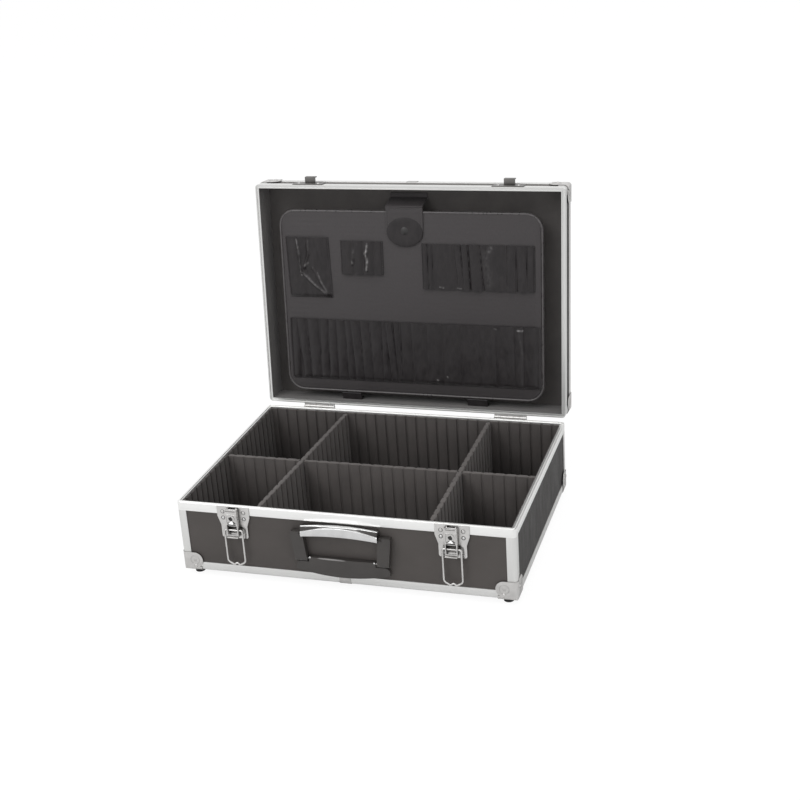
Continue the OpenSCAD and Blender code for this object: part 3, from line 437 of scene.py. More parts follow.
@dataclass(frozen=True)
class ClothFinish:
    """Coated cloth with a plain weave."""

    colour: Point = (0.040, 0.0350, 0.0365)
    threads_per_metre: float = 1500.0
    roughness: float = 0.62
    turn: float = LID_OPEN

    def build(self, s: Shader) -> None:
        """Fills the material.

        Args:
            s: Its shader.
        """
        bands = self.threads_per_metre / 3.0
        warp, weft = s.wave((bands, 0, 0), "X", self.turn), s.wave((0, 0, bands), "Z", self.turn)
        cloud = s.noise(20.0, 4.0, 0.55)
        slub = s.noise((900, 200, 260), turn=self.turn)
        tone = s.math("ADD", s.span(cloud, 0.3, 0.7, 0.0, 0.55), s.span(slub, 0.3, 0.7, 0.0, 0.45))
        s.finish(
            Base_Color=s.tint(tone, self.colour, 0.86, 1.16),
            Roughness=s.span(cloud, 0.3, 0.7, self.roughness - 0.05, self.roughness + 0.06),
            Sheen_Weight=0.12,
            Normal=s.bump(s.math("MULTIPLY", warp, weft), 0.00006),
        )


@dataclass(frozen=True)
class VinylFinish:
    """Thin glossy vinyl with fine creases, lighter with painted glints where the piece's "painted_glint"
    attribute says.
    """

    colour: Point = (0.0225, 0.0195, 0.0205)
    roughness: float = 0.36
    crease_per_metre: float = 160.0
    crease_deep: float = 0.0004
    gloss: float = 0.32
    # Colour of the painted glints on sharp creases
    painted_glint: Point = (0.62, 0.60, 0.60)
    grain_per_metre: float = 2100.0

    def build(self, s: Shader) -> None:
        """Fills the material.

        Args:
            s: Its shader.
        """
        n = self.crease_per_metre
        crease = s.noise((n, n, n * 0.35), 4.0, 0.55)
        # Painted highlight: the colour runs to a pale grey where the glint attribute says
        painted_glint = s.node("ShaderNodeAttribute", attribute_name="painted_glint").outputs["Fac"]
        plain = s.tint(s.span(crease, 0.35, 0.65), self.colour, 0.85, 1.2)
        s.finish(
            Base_Color=s.blend(painted_glint, plain, self.painted_glint),
            Roughness=s.span(crease, 0.3, 0.7, self.roughness - 0.06, self.roughness + 0.1),
            Specular_IOR_Level=self.gloss,
            Normal=s.bump(s.cells(self.grain_per_metre), 0.00003, s.bump(crease, self.crease_deep)),
        )


@dataclass(frozen=True)
class RubberFinish:
    """Matt black rubber."""

    colour: Point = (0.022, 0.022, 0.022)

    def build(self, s: Shader) -> None:
        """Fills the material.

        Args:
            s: Its shader.
        """
        dust = s.noise(700.0, 4.0, 0.65)
        s.finish(
            Base_Color=s.tint(s.span(dust, 0.35, 0.75), self.colour, 0.8, 1.7),
            Roughness=s.span(dust, 0.3, 0.7, 0.62, 0.8),
            Normal=s.bump(dust, 0.00004),
        )


@dataclass(frozen=True)
class ThreadFinish:
    """Twisted sewing thread."""

    colour: Point = (0.05, 0.047, 0.048)

    def build(self, s: Shader) -> None:
        """Fills the material.

        Args:
            s: Its shader.
        """
        twist = s.noise(5000.0, 2.0)
        s.finish(
            Base_Color=s.tint(twist, self.colour, 0.7, 1.4),
            Roughness=0.7,
            Sheen_Weight=0.3,
            Normal=s.bump(twist, 0.00005),
        )


FINISHES = {
    "aluminium_edging": AluminiumFinish(Run.AROUND),
    # Lighter copy of the aluminium, as painted light on the rim
    "aluminium_rim_painted_light": AluminiumFinish(Run.AROUND, (0.90, 0.90, 0.89)),
    "aluminium_posts": AluminiumFinish(Run.UPRIGHT, (0.72, 0.72, 0.71)),
    "aluminium_lid": AluminiumFinish(Run.AROUND, turn=LID_OPEN),
    # Darker copy of the aluminium, as painted shade on the lid posts
    "aluminium_lid_posts_painted_shade": AluminiumFinish(Run.UPRIGHT, (0.60, 0.60, 0.59), LID_OPEN),
    "black_panel": PanelFinish(),
    # Darker copy of the laminate, as painted shade on the sides
    "side_panel_painted_shade": PanelFinish((0.024, 0.022, 0.021), 0.18),
    "satin_nickel": NickelFinish((0.56, 0.55, 0.54), 0.32),
    # Darker copy of nickel, as painted shade on the catches and behind the latch windows
    "shaded_nickel": NickelFinish((0.16, 0.155, 0.15), 0.3),
    "bright_nickel": NickelFinish(),
    # Very dark nickel, as painted shade in the latch windows
    "painted_shade_nickel": NickelFinish((0.07, 0.068, 0.066), 0.4),
    # Pale plastic, as a painted highlight on the handle bracket's edge
    "painted_highlight_plastic": MouldedFinish((0.30, 0.29, 0.285), 0.3),
    "cap_nickel": NickelFinish((0.62, 0.61, 0.60), 0.32),
    "grip_chrome": NickelFinish((0.74, 0.74, 0.74), 0.16, 0.03),
    # Darker nickel, as painted shade on the grip's flute
    "grip_flute_painted_shade": NickelFinish((0.46, 0.455, 0.45), 0.3, 0.03, 0.25),
    # Near-black, as painted shade in the keyhole and round the latch rivets
    "painted_shade_black": MouldedFinish((0.012, 0.012, 0.012), 0.5),
    "moulded_black": MouldedFinish(),
    "divider_board": FeltFinish((0.066, 0.058, 0.055), 1700.0, 0.12, 0.7),
    # Lighter copy of the divider board, as painted light on the dividers
    "divider_board_painted_light": FeltFinish((0.090, 0.080, 0.076), 1700.0, 0.12, 0.7),
    "lining_cloth": FeltFinish(),
    "pallet_cloth": ClothFinish(),
    # The piping's own grey, raised as a painted highlight
    "pallet_piping": VinylFinish((0.080, 0.074, 0.075), 0.30, 260.0, 0.00005, 0.6),
    "black_vinyl": VinylFinish(),
    "black_snap": MouldedFinish((0.020, 0.0185, 0.0185), 0.45),
    "black_rubber": RubberFinish(),
    "thread": ThreadFinish(),
}


@cache
def material(finish: str) -> bpy.types.Material:
    """Builds a finish on its first use.

    Args:
        finish: Name of the finish.

    Returns:
        Its material.
    """
    shader = Shader(finish)
    FINISHES[finish].build(shader)
    return shader.material


# ---------------------------------------------------------------- stage


@dataclass
class Studio:
    """Pale floor, soft lamps and the camera."""

    floor_size: float = 30.0
    floor_glow: float = 1.08
    floor_share: float = 0.85
    focal_px: float = 1378.0
    image_px: float = 800.0
    sensor: float = 36.0
    eye: Point = (568.7, -1617.0, 905.2)
    azimuth: float = 18.21
    elevation: float = 22.50
    roll: float = -3.91
    sky: float = 0.55
    lamps: tuple[tuple[str, Point, Point, float, float], ...] = (
        ("key", (-1.6, -2.2, 2.6), (0, 0, 0.15), 1.8, 34.0),
        ("side", (2.6, -1.2, 1.5), (0, 0, 0.2), 1.6, 3.5),
        ("top", (0.2, -0.3, 3.0), (0, 0, 0.1), 2.2, 24.0),
    )

    def build(self) -> None:
        """Makes the camera, the world, the floor and the lamps."""
        self.camera()
        self.world()
        self.floor()
        self.light()
        bpy.context.scene.view_settings.view_transform = "Standard"

    def camera(self) -> None:
        """Sets the camera up."""
        data = bpy.data.cameras.new("camera")
        data.sensor_width = self.sensor
        data.lens = self.focal_px / self.image_px * self.sensor
        data.clip_end = 100.0
        az, el, roll = (math.radians(a) for a in (self.azimuth, self.elevation, self.roll))
        back = Vector((math.sin(az) * math.cos(el), -math.cos(az) * math.cos(el), math.sin(el)))
        right = (-back).cross(Vector((0, 0, 1))).normalized()
        up = right.cross(-back)
        axis_x = math.cos(roll) * right + math.sin(roll) * up
        axis_y = -math.sin(roll) * right + math.cos(roll) * up
        rows = [(axis_x[i], axis_y[i], back[i], self.eye[i] * MM) for i in range(3)]
        made = bpy.data.objects.new("camera", data)
        made.matrix_world = Matrix([*rows, (0, 0, 0, 1)])
        bpy.context.scene.collection.objects.link(made)
        bpy.context.scene.camera = made

    def world(self) -> None:
        """White to the camera and to mirrors, and a plain level of light on the rest."""
        world = bpy.data.worlds.new("studio")
        bpy.context.scene.world = world
        world.use_nodes = True
        tree = Tree(world.node_tree)
        path = tree.node("ShaderNodeLightPath").outputs
        rays = {0: path["Is Camera Ray"], 1: path["Is Glossy Ray"]}
        shown = tree.node("ShaderNodeMath", rays, operation="MAXIMUM").outputs["Value"]
        level = tree.node("ShaderNodeMapRange", {"Value": shown, "To Min": self.sky, "To Max": 1.0})
        background = world.node_tree.nodes["Background"]
        tree.fill(background.inputs["Color"], (1, 1, 1, 1))
        tree.fill(background.inputs["Strength"], level.outputs["Result"])

    def floor(self) -> None:
        """White floor that keeps a faint shadow."""
        bpy.ops.mesh.primitive_plane_add(size=self.floor_size)
        floor = bpy.context.object
        floor.name = "floor"
        s = Shader("floor")
        s.finish(Base_Color=(0.93, 0.93, 0.93, 1), Roughness=0.9)
        seen = s.node("ShaderNodeLightPath").outputs["Is Camera Ray"]
        share = s.node("ShaderNodeMapRange", {"Value": seen, "To Max": self.floor_share}).outputs["Result"]
        glow = s.node("ShaderNodeEmission", {"Strength": self.floor_glow}).outputs["Emission"]
        mix = s.node("ShaderNodeMixShader", {"Fac": share, 1: s.surface.outputs["BSDF"], 2: glow})
        s.fill(s.tree.nodes["Material Output"].inputs["Surface"], mix.outputs["Shader"])
        floor.data.materials.append(s.material)

    def light(self) -> None:
        """Hangs the square lamps, each aimed at its target."""
        for name, place, target, size, watts in self.lamps:
            data = bpy.data.lights.new(name, "AREA")
            data.size = size
            data.energy = watts
            made = bpy.data.objects.new(name, data)
            made.location = place
            made.rotation_mode = "QUATERNION"
            made.rotation_quaternion = (Vector(target) - Vector(place)).to_track_quat("-Z", "Y")
            bpy.context.scene.collection.objects.link(made)


# ---------------------------------------------------------------- meshes


def finished_mesh(
    made: bmesh.types.BMesh, name: str, matrix: Matrix | None, sharp: float = SHARP
) -> bpy.types.Mesh:
    """Writes a mesh with smooth faces and sharp edges.

    Args:
        made: The mesh being edited, which is freed.
        name: Name of the new mesh.
        matrix: Where to put it.
        sharp: Angle from which an edge stays sharp.

    Returns:
        The mesh.
    """
    for face in made.faces:
        face.smooth = True
    for edge in made.edges:
        edge.smooth = len(edge.link_faces) == 2 and edge.calc_face_angle(0.0) < sharp
    if matrix is not None:
        made.transform(matrix)
    mesh = bpy.data.meshes.new(name)
    made.to_mesh(mesh)
    made.free()
    return mesh


def place(name: str, mesh: bpy.types.Mesh, body: str, finish: str, nodes: Sequence[str] = ()) -> None:
    """Adds a piece to the case.

    Args:
        name: Name of the piece.
        mesh: Its mesh, in the frame.
        body: Body that it moves with.
        finish: Name of its finish.
        nodes: CAD nodes that it stands for.
    """
    made = bpy.data.objects.new(name, mesh)
    bpy.context.scene.collection.objects.link(made)
    mesh.materials.clear()
    mesh.materials.append(material(finish))
    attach(made, body)
    if nodes:
        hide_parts(*nodes)
    LOG.info("piece %s: %d faces on %s", name, len(mesh.polygons), body)


def dress(finish: str, *nodes: str) -> None:
    """Gives CAD nodes their finish.

    Args:
        finish: Name of the finish.
        nodes: Names of the nodes.
    """
    for node in nodes:
        data = frame["nodes"][node].data
        data.materials.clear()
        data.materials.append(material(finish))
        LOG.info("node %s: %s", node, finish)


def soften(node: str, name: str, body: str, finish: str, width: float, steps: int = 2) -> None:
    """Stands in for a CAD node with a copy whose long edges are rounded.

    Args:
        node: Name of the node.
        name: Name of the new piece.
        body: Body that it moves with.
        finish: Name of its finish.
        width: Width of the rounding, in millimetres.
        steps: Faces across the rounding.
    """
    made = bmesh.new()
    made.from_mesh(frame["nodes"][node].data)
    bmesh.ops.remove_doubles(made, verts=made.verts, dist=1e-6)
    bmesh.ops.dissolve_limit(made, angle_limit=math.radians(0.6), verts=made.verts, edges=made.edges)
    wide = width * MM
    needed = 2.2 * wide
    room = {face: 4.0 * face.calc_area() / max(face.calc_perimeter(), 1e-9) for face in made.faces}
    chosen = [
        edge
        for edge in made.edges
        if len(edge.link_faces) == 2
        and edge.calc_face_angle(0.0) > math.radians(30)
        and edge.is_convex
        and edge.calc_length() > needed
        and min(room[face] for face in edge.link_faces) > needed
    ]
    bmesh.ops.bevel(
        made, geom=chosen, offset=wide, offset_type="OFFSET", segments=steps, profile=0.5,
        affect="EDGES", clamp_overlap=True,
    )
    place(name, finished_mesh(made, name, None), body, finish, [node])


class Ends(Enum):
    """What becomes of the first and the last row of a skin."""

    OPEN = "left open"
    CAPPED = "each filled by a face"
    JOINED = "joined to one another"


@dataclass
class Skin:
    """Points and faces of a piece that is being drawn."""

    points: list[Vector]
    faces: list[tuple[int, ...]]

    @classmethod
    def loft(cls, rows: Sequence[Sequence[Point]], ends: Ends = Ends.CAPPED, closed: bool = True) -> "Skin":
        """Joins rows of points by quads.

        Args:
            rows: Rows of the same number of points.
            ends: What becomes of the first and the last row.
            closed: Whether each row closes on itself.

        Returns:
            The skin.
        """
        count, total = len(rows[0]), len(rows)
        faces: list[tuple[int, ...]] = []
        for i in range(total if ends is Ends.JOINED else total - 1):
            a, b = i * count, (i + 1) % total * count
            for k in range(count if closed else count - 1):
                n = (k + 1) % count
                faces.append((a + k, a + n, b + n, b + k))
        if ends is Ends.CAPPED:
            faces.append(tuple(reversed(range(count))))
            faces.append(tuple(range((total - 1) * count, total * count)))
        return cls([Vector(p) for row in rows for p in row], faces)

    def add(self, name: str, body: str, finish: str, *nodes: str) -> None:
        """Adds the skin to the case.

        Args:
            name: Name of the piece.
            body: Body that it moves with.
            finish: Name of its finish.
            nodes: CAD nodes that it stands for.
        """
        made = bmesh.new()
        verts = [made.verts.new(p) for p in self.points]
        for face in self.faces:
            made.faces.new([verts[i] for i in face])
        bmesh.ops.remove_doubles(made, verts=made.verts, dist=0.0005)
        bmesh.ops.recalc_face_normals(made, faces=made.faces)
        place(name, finished_mesh(made, name, to_frame(body)), body, finish, nodes)


def rounded(corners: Sequence[Point], inset: float, steps: int, least: float = 0.15) -> list[Pair]:
    """Outline of a polygon with round corners.

    Args:
        corners: X, Y and radius of each corner, counter-clockwise.
        inset: Distance that the outline is drawn in.
        steps: Segments of each corner.
        least: Smallest radius left after the inset.

    Returns:
        Its points, as many for every inset.
    """
    spots = [Vector(c[:2]) for c in corners]
    outline: list[Pair] = []
    for i, here in enumerate(spots):
        into = (here - spots[i - 1]).normalized()
        out = (spots[(i + 1) % len(spots)] - here).normalized()
        half = math.acos(max(-1.0, min(1.0, into.dot(out)))) / 2
        sign = -1 if into.cross(out) < 0 else 1
        radius = max(corners[i][2] - sign * inset, least)
        side = Vector((-into.y, into.x)) + Vector((-out.y, out.x))
        side = side.normalized() / max(math.cos(half), 0.1)
        centre = here + side * inset + side * (sign * radius)
        start = Vector((into.y, -into.x)) * sign
        for k in range(steps + 1):
            angle = sign * 2 * half * k / steps
            c, s = math.cos(angle), math.sin(angle)
            x, y = start.x * c - start.y * s, start.x * s + start.y * c
            outline.append((centre.x + radius * x, centre.y + radius * y))
    return outline


def rectangle(width: float, height: float, radius: float, centre: Pair) -> list[Point]:
    """Corners of a rectangle for rounded(), counter-clockwise from the lower left."""
    signs = ((-1, -1), (1, -1), (1, 1), (-1, 1))
    return [(centre[0] + a * width / 2, centre[1] + b * height / 2, radius) for a, b in signs]


def stack(
    corners: Sequence[Point], levels: Sequence[Pair], steps: int, upright: bool = False
) -> list[list[Point]]:
    """Rows of a plate with round corners, one for each level.

    Args:
        corners: Its corners, as for rounded().
        levels: Inset of each row, and its Z, or its Y in an upright plate.
        steps: Segments of each corner.
        upright: Whether the plate stands across Y.

    Returns:
        The rows.
    """
    return [
        [(a, level, b) if upright else (a, b, level) for a, b in rounded(corners, inset, steps)]
        for inset, level in levels
    ]


def wire_loop(path: Sequence[Vector], radius: float, sides: int) -> Skin:
    """Round bar along a closed path.

    Args:
        path: Points of its centre line.
        radius: Its radius.
        sides: Sides of its section.

    Returns:
        Its skin.
    """
    rings: list[list[Vector]] = []
    normal = Vector()
    for i, here in enumerate(path):
        along = (path[(i + 1) % len(path)] - path[i - 1]).normalized()
        normal = normal if i else along.orthogonal().normalized()
        normal = (normal - along * normal.dot(along)).normalized()
        other = along.cross(normal)
        rings.append([here + (normal * c + other * s) * radius for c, s in circle(sides)])
    # The section may come back turned: the last ring is matched to the first by its nearest point
    turn = min(range(sides), key=lambda k: (rings[-1][k] - rings[0][0]).length)
    skin = Skin.loft(rings, Ends.OPEN)
    last = (len(rings) - 1) * sides
    for k in range(sides):
        skin.faces.append((last + (k + turn) % sides, last + (k + turn + 1) % sides, (k + 1) % sides, k))
    return skin


# ---------------------------------------------------------------- repeated pieces


class Graph(Tree):
    """A Geometry Nodes tree that sets one shape on every point of a mesh, with named sizes."""

    def __init__(self, name: str, **sizes: float) -> None:
        """Starts the tree.

        Args:
            name: Name of the tree.
            sizes: Its named sizes, in millimetres.
        """
        super().__init__(bpy.data.node_groups.new(name, "GeometryNodeTree"))
        self.sizes = sizes
        sockets = [("Places", "Geometry"), *((key, "Float") for key in sizes), ("Finish", "Material")]
        for key, kind in sockets:
            self.tree.interface.new_socket(key, in_out="INPUT", socket_type="NodeSocket" + kind)
        self.tree.interface.new_socket("Geometry", in_out="OUTPUT", socket_type="NodeSocketGeometry")
        self.start = self.node("NodeGroupInput").outputs
        self.end = self.node("NodeGroupOutput").inputs[0]

    def attribute(self, name: str) -> Socket:
        """Vector stored on the points."""
        made = self.node("GeometryNodeInputNamedAttribute", {"Name": name}, data_type="FLOAT_VECTOR")
        return made.outputs["Attribute"]

    def close(self, shape: Socket) -> "Graph":
        """Sets a shape on each point, with its Z along "up" and its X along "along".

        Args:
            shape: The mesh to set on the points.

        Returns:
            This tree.
        """
        align = "FunctionNodeAlignRotationToVector"
        up = self.node(align, {"Vector": self.attribute("up")}, axis="Z").outputs[0]
        turn = self.node(
            align, {"Rotation": up, "Vector": self.attribute("along")}, axis="X", pivot_axis="Z"
        ).outputs[0]
        inputs = {"Points": self.start["Places"], "Instance": shape, "Rotation": turn}
        made = self.node("GeometryNodeInstanceOnPoints", inputs).outputs[0]
        for kind in ("GeometryNodeRealizeInstances", "GeometryNodeSetShadeSmooth"):
            made = self.node(kind, {"Geometry": made}).outputs[0]
        dressed = self.node("GeometryNodeSetMaterial", {"Geometry": made, "Material": self.start["Finish"]})
        self.fill(self.end, dressed.outputs[0])
        return self

    def ball(self, segments: int, rings: int, *axes: str) -> "Graph":
        """Sets a ball on each point, stretched to a named size along each axis.

        Args:
            segments: Segments round the ball.
            rings: Rings from pole to pole.
            axes: Names of the half sizes along X, Y and Z.

        Returns:
            This tree.
        """
        inputs = {"Segments": segments, "Rings": rings, "Radius": 1.0}
        ball = self.node("GeometryNodeMeshUVSphere", inputs).outputs["Mesh"]
        scale = self.node("ShaderNodeCombineXYZ", {k: self.start[axis] for k, axis in enumerate(axes)})
        sized = self.node("GeometryNodeTransform", {"Geometry": ball, "Scale": scale.outputs[0]})
        return self.close(sized.outputs[0])


@cache
def domed_head() -> Graph:
    """Tree of a low domed head, half sunk in what it holds."""
    return Graph("domed head", Radius=2.4, Height=1.1).ball(28, 14, "Radius", "Radius", "Height")


@cache
def stitch() -> Graph:
    """Tree of one sunk stitch of thread."""
    return Graph("stitch", Length=1.1, Thick=0.3).ball(8, 6, "Length", "Thick", "Thick")


@cache
def pressed_ring() -> Graph:
    """Tree of a round ring pressed up out of a sheet.

    Returns:
        The tree, with the ring's radius and the half height of its bead.
    """
    graph = Graph("pressed ring", Radius=6.0, Bead=0.5)
    line, bead = (
        graph.node("GeometryNodeCurvePrimitiveCircle", {"Resolution": count, "Radius": graph.start[size]})
        for size, count in (("Radius", 40), ("Bead", 10))
    )
    inputs = {"Curve": line.outputs[0], "Profile Curve": bead.outputs[0]}
    return graph.close(graph.node("GeometryNodeCurveToMesh", inputs).outputs[0])


@dataclass(frozen=True)
class Spot:
    """Place of one repeated piece, in its body's space."""

    at: Point
    up: Point
    along: Point = (0.0, 0.0, 0.0)

    @property
    def ways(self) -> dict[str, Vector]:
        """The directions that the tree reads, with a free choice where none is given."""
        up, along = Vector(self.up), Vector(self.along)
        return {"up": up, "along": along if along.length else up.orthogonal()}


def repeat(
    name: str, make: Callable[[], Graph], spots: Sequence[Spot], body: str, finish: str, *nodes: str,
    **sizes: float,
) -> None:
    """Sets a tree's shape on many places as one piece.

    Args:
        name: Name of the piece.
        make: Function that builds the tree.
        spots: The places.
        body: Body that the piece moves with.
        finish: Name of its finish.
        nodes: CAD nodes that it stands for.
        sizes: Sizes other than the tree's own, in millimetres.
    """
    graph, matrix = make(), to_frame(body)
    turn = matrix.to_3x3().normalized()
    points = bpy.data.meshes.new(name + "_places")
    points.from_pydata([matrix @ Vector(s.at) for s in spots], [], [])
    for key in ("up", "along"):
        stored = points.attributes.new(key, "FLOAT_VECTOR", "POINT")
        for item, spot in zip(stored.data, spots):
            item.vector = turn @ spot.ways[key]
    holder = bpy.data.objects.new(name + "_places", points)
    bpy.context.scene.collection.objects.link(holder)
    grown = holder.modifiers.new("Repeat", "NODES")
    grown.node_group = graph.tree
    values: dict[str, object] = {key: value * MM for key, value in (graph.sizes | sizes).items()}
    values["Finish"] = material(finish)
    for item in graph.tree.interface.items_tree:
        if item.in_out == "INPUT" and item.name in values:
            grown[item.identifier] = values[item.name]
    seen = holder.evaluated_get(bpy.context.evaluated_depsgraph_get())
    mesh = bpy.data.meshes.new_from_object(seen)
    mesh.name = name
    for stale in ("up", "along"):
        if stale in mesh.attributes:
            mesh.attributes.remove(mesh.attributes[stale])
    bpy.data.objects.remove(holder)
    place(name, mesh, body, finish, nodes)


# ---------------------------------------------------------------- the case


@dataclass(frozen=True)
class Sizes:
    """Sizes that several sub-assemblies share."""

    wide: float = 455.0
    deep: float = 330.0
    base_high: float = 99.0
    lid_high: float = 44.5
    foot_high: float = 9.0
    gap: float = 0.2
    hardware_x: float = 147.0
    plate_thick: float = 1.2
    latch_rivet_in: float = 7.5
    latch_rivet_x: float = 14.5
    hinge_rivet_x: float = 16.0
    cap_thick: float = 1.0
    rivet_far: float = 17.5
    rivet_near: float = 6.5
    ear_far: float = 17.0
    ear_near: float = 14.5
    pallet_wide: float = 394.0
    pallet_middle: float = -2.0
    pallet_front: float = -131.0
    pallet_rise: float = 12.0

    @property
    def rim(self) -> float:
        """Height of the base's rim."""
        return self.foot_high + self.base_high

    @property
    def front(self) -> float:
        """Y of the front face."""
        return -self.deep / 2

    @property
    def pallet_corner(self) -> Point:
        """Upper left corner of the pallet's face, in the lid."""
        face = self.rim + self.gap + self.pallet_rise
        return self.pallet_middle - self.pallet_wide / 2, self.pallet_front, face

    def height(self, in_lid: bool, rise: float) -> float:
        """Height of something that lies a distance in from the lid's top or the base's bottom."""
        return self.rim + self.gap + self.lid_high - rise if in_lid else self.foot_high + rise

    def cap_spots(self, in_lid: bool, far: float, near: float, on_top: bool = False) -> list[Spot]:
        """Places on the leaves of the four corner caps.

        Args:
            in_lid: Whether the caps are the lid's.
            far: Distance of the places along an upright leaf.
            near: Their distance from the leaf's other edge.
            on_top: Whether the leaves on the lid's top have them too.

        Returns:
            The places.
        """
        half_wide, half_deep, out = self.wide / 2, self.deep / 2, self.cap_thick
        spots = []
        for sx, sy in ((-1, -1), (-1, 1), (1, -1), (1, 1)):
            x, y = sx * (half_wide - far), sy * (half_deep + out)
            spots.append(Spot((x, y, self.height(in_lid, near)), (0, sy, 0), (1, 0, 0)))
            x, y = sx * (half_wide + out), sy * (half_deep - near)
            spots.append(Spot((x, y, self.height(in_lid, far)), (sx, 0, 0), (0, 1, 0)))
            if on_top:
                x, y = sx * (half_wide - near), sy * (half_deep - far)
                spots.append(Spot((x, y, self.height(True, -out)), (0, 0, 1), (1, 0, 0)))
        return spots

    def latch_spots(self, level: float, out: float = plate_thick) -> list[Spot]:
        """Places beside both latches.

        Args:
            level: Their height.
            out: Their distance out from the front face.

        Returns:
            The places.
        """
        x, in_x, y = self.hardware_x, self.latch_rivet_x, self.front - out
        return [Spot((a * x + b * in_x, y, level), (0, -1, 0)) for a in (-1, 1) for b in (-1, 1)]


SIZES = Sizes()


@dataclass
class Shell:
    """One half of the case: its panels, profiles, corner caps and rivets."""

    name: str
    in_lid: bool
    ring_r: float = 6.3
    ring_bead: float = 0.34
    dimple_r: float = 2.2
    dimple_high: float = 0.5
    hinge_rivet_drops: Pair = (6.5, 17.0)

    def build(self) -> None:
        """Dresses the shell's nodes and adds its details."""
        own, lid = self.name, self.in_lid
        edge = "top" if lid else "bottom"
        dress("black_panel", f"{own}_front_panel", f"{own}_back_panel", f"{own}_{edge}_panel")
        # The side panels get the darker laminate as painted shade
        dress("side_panel_painted_shade", f"{own}_side_panels")
        # The rim's lighter aluminium is painted light, and the lid posts' darker aluminium is painted shade
        rows = (
            ("rim", "rim_profile", "aluminium_lid" if lid else "aluminium_rim_painted_light", 0.35),
            (f"{edge}_edge", f"{edge}_edge_profile", "aluminium_lid" if lid else "aluminium_edging", 0.25),
            ("corner_posts", "post_profiles", "aluminium_lid_posts_painted_shade" if lid else "aluminium_posts", 0.35),
            ("corner_caps", "pressed_caps", "cap_nickel", 0.3),
            ("seam_clip", "profile_clip", "satin_nickel", 0.15),
        )
        for node, piece, finish, width in rows:
            soften(f"{own}_{node}", f"{own}_{piece}", own, finish, width)
        self.details()

    def details(self) -> None:
        """Adds the caps' pressed rings and dimples, and the rivets' heads."""
        own, lid = self.name, self.in_lid
        ears = SIZES.cap_spots(lid, SIZES.ear_far, SIZES.ear_near, lid)
        ring = {"Radius": self.ring_r, "Bead": self.ring_bead}
        dimple = {"Radius": self.dimple_r, "Height": self.dimple_high}
        repeat(f"{own}_cap_rings", pressed_ring, ears, own, "satin_nickel", **ring)
        repeat(f"{own}_cap_dimples", domed_head, ears, own, "satin_nickel", **dimple)
        away, y = 1 if lid else -1, SIZES.deep / 2 + SIZES.plate_thick
        leaves = (a * SIZES.hardware_x + b * SIZES.hinge_rivet_x for a in (-1, 1) for b in (-1, 1))
        heads = SIZES.cap_spots(lid, SIZES.rivet_far, SIZES.rivet_near)
        for x in leaves:
            heads += [Spot((x, y, SIZES.rim + away * drop), (0, 1, 0)) for drop in self.hinge_rivet_drops]
        if lid:
            heads += SIZES.latch_spots(SIZES.rim + SIZES.gap + SIZES.latch_rivet_in)
        repeat(f"{own}_rivet_heads", domed_head, heads, own, "bright_nickel", f"{own}_rivets")


@dataclass
class Interior:
    """The slotted lining, the floor pad, the dividers and the lid's cloth."""

    wall_round: float = 0.3
    divider_round: float = 0.5

    def build(self) -> None:
        """Dresses the pieces."""
        for wall in ("front", "back", "sides"):
            soften(f"lining_{wall}", f"slotted_wall_{wall}", "base", "divider_board", self.wall_round)
        # The dividers get a lighter copy of the board as painted light
        for node in ("long_divider", "left_cross_divider", "right_cross_divider"):
            soften(node, f"{node}_board", node, "divider_board_painted_light", self.divider_round)
        dress("lining_cloth", "floor_pad", "lid_lining")


@dataclass
class Hardware:
    """The rubber feet with their screws, and the two hinges behind the case."""

    leaf_round: float = 0.25

    def build(self) -> None:
        """Dresses the pieces."""
        soften("feet", "foot_studs", "base", "black_rubber", 0.5)
        soften("foot_screws", "foot_screw_heads", "base", "satin_nickel", 0.2)
        soften("hinge_base_leaves", "hinge_lower_leaves", "base", "satin_nickel", self.leaf_round)
        soften("hinge_lid_leaves", "hinge_upper_leaves", "lid", "satin_nickel", self.leaf_round)
        dress("bright_nickel", "hinge_pins")


class Side(Enum):
    """A side of the case."""

    LEFT = "left"
    RIGHT = "right"


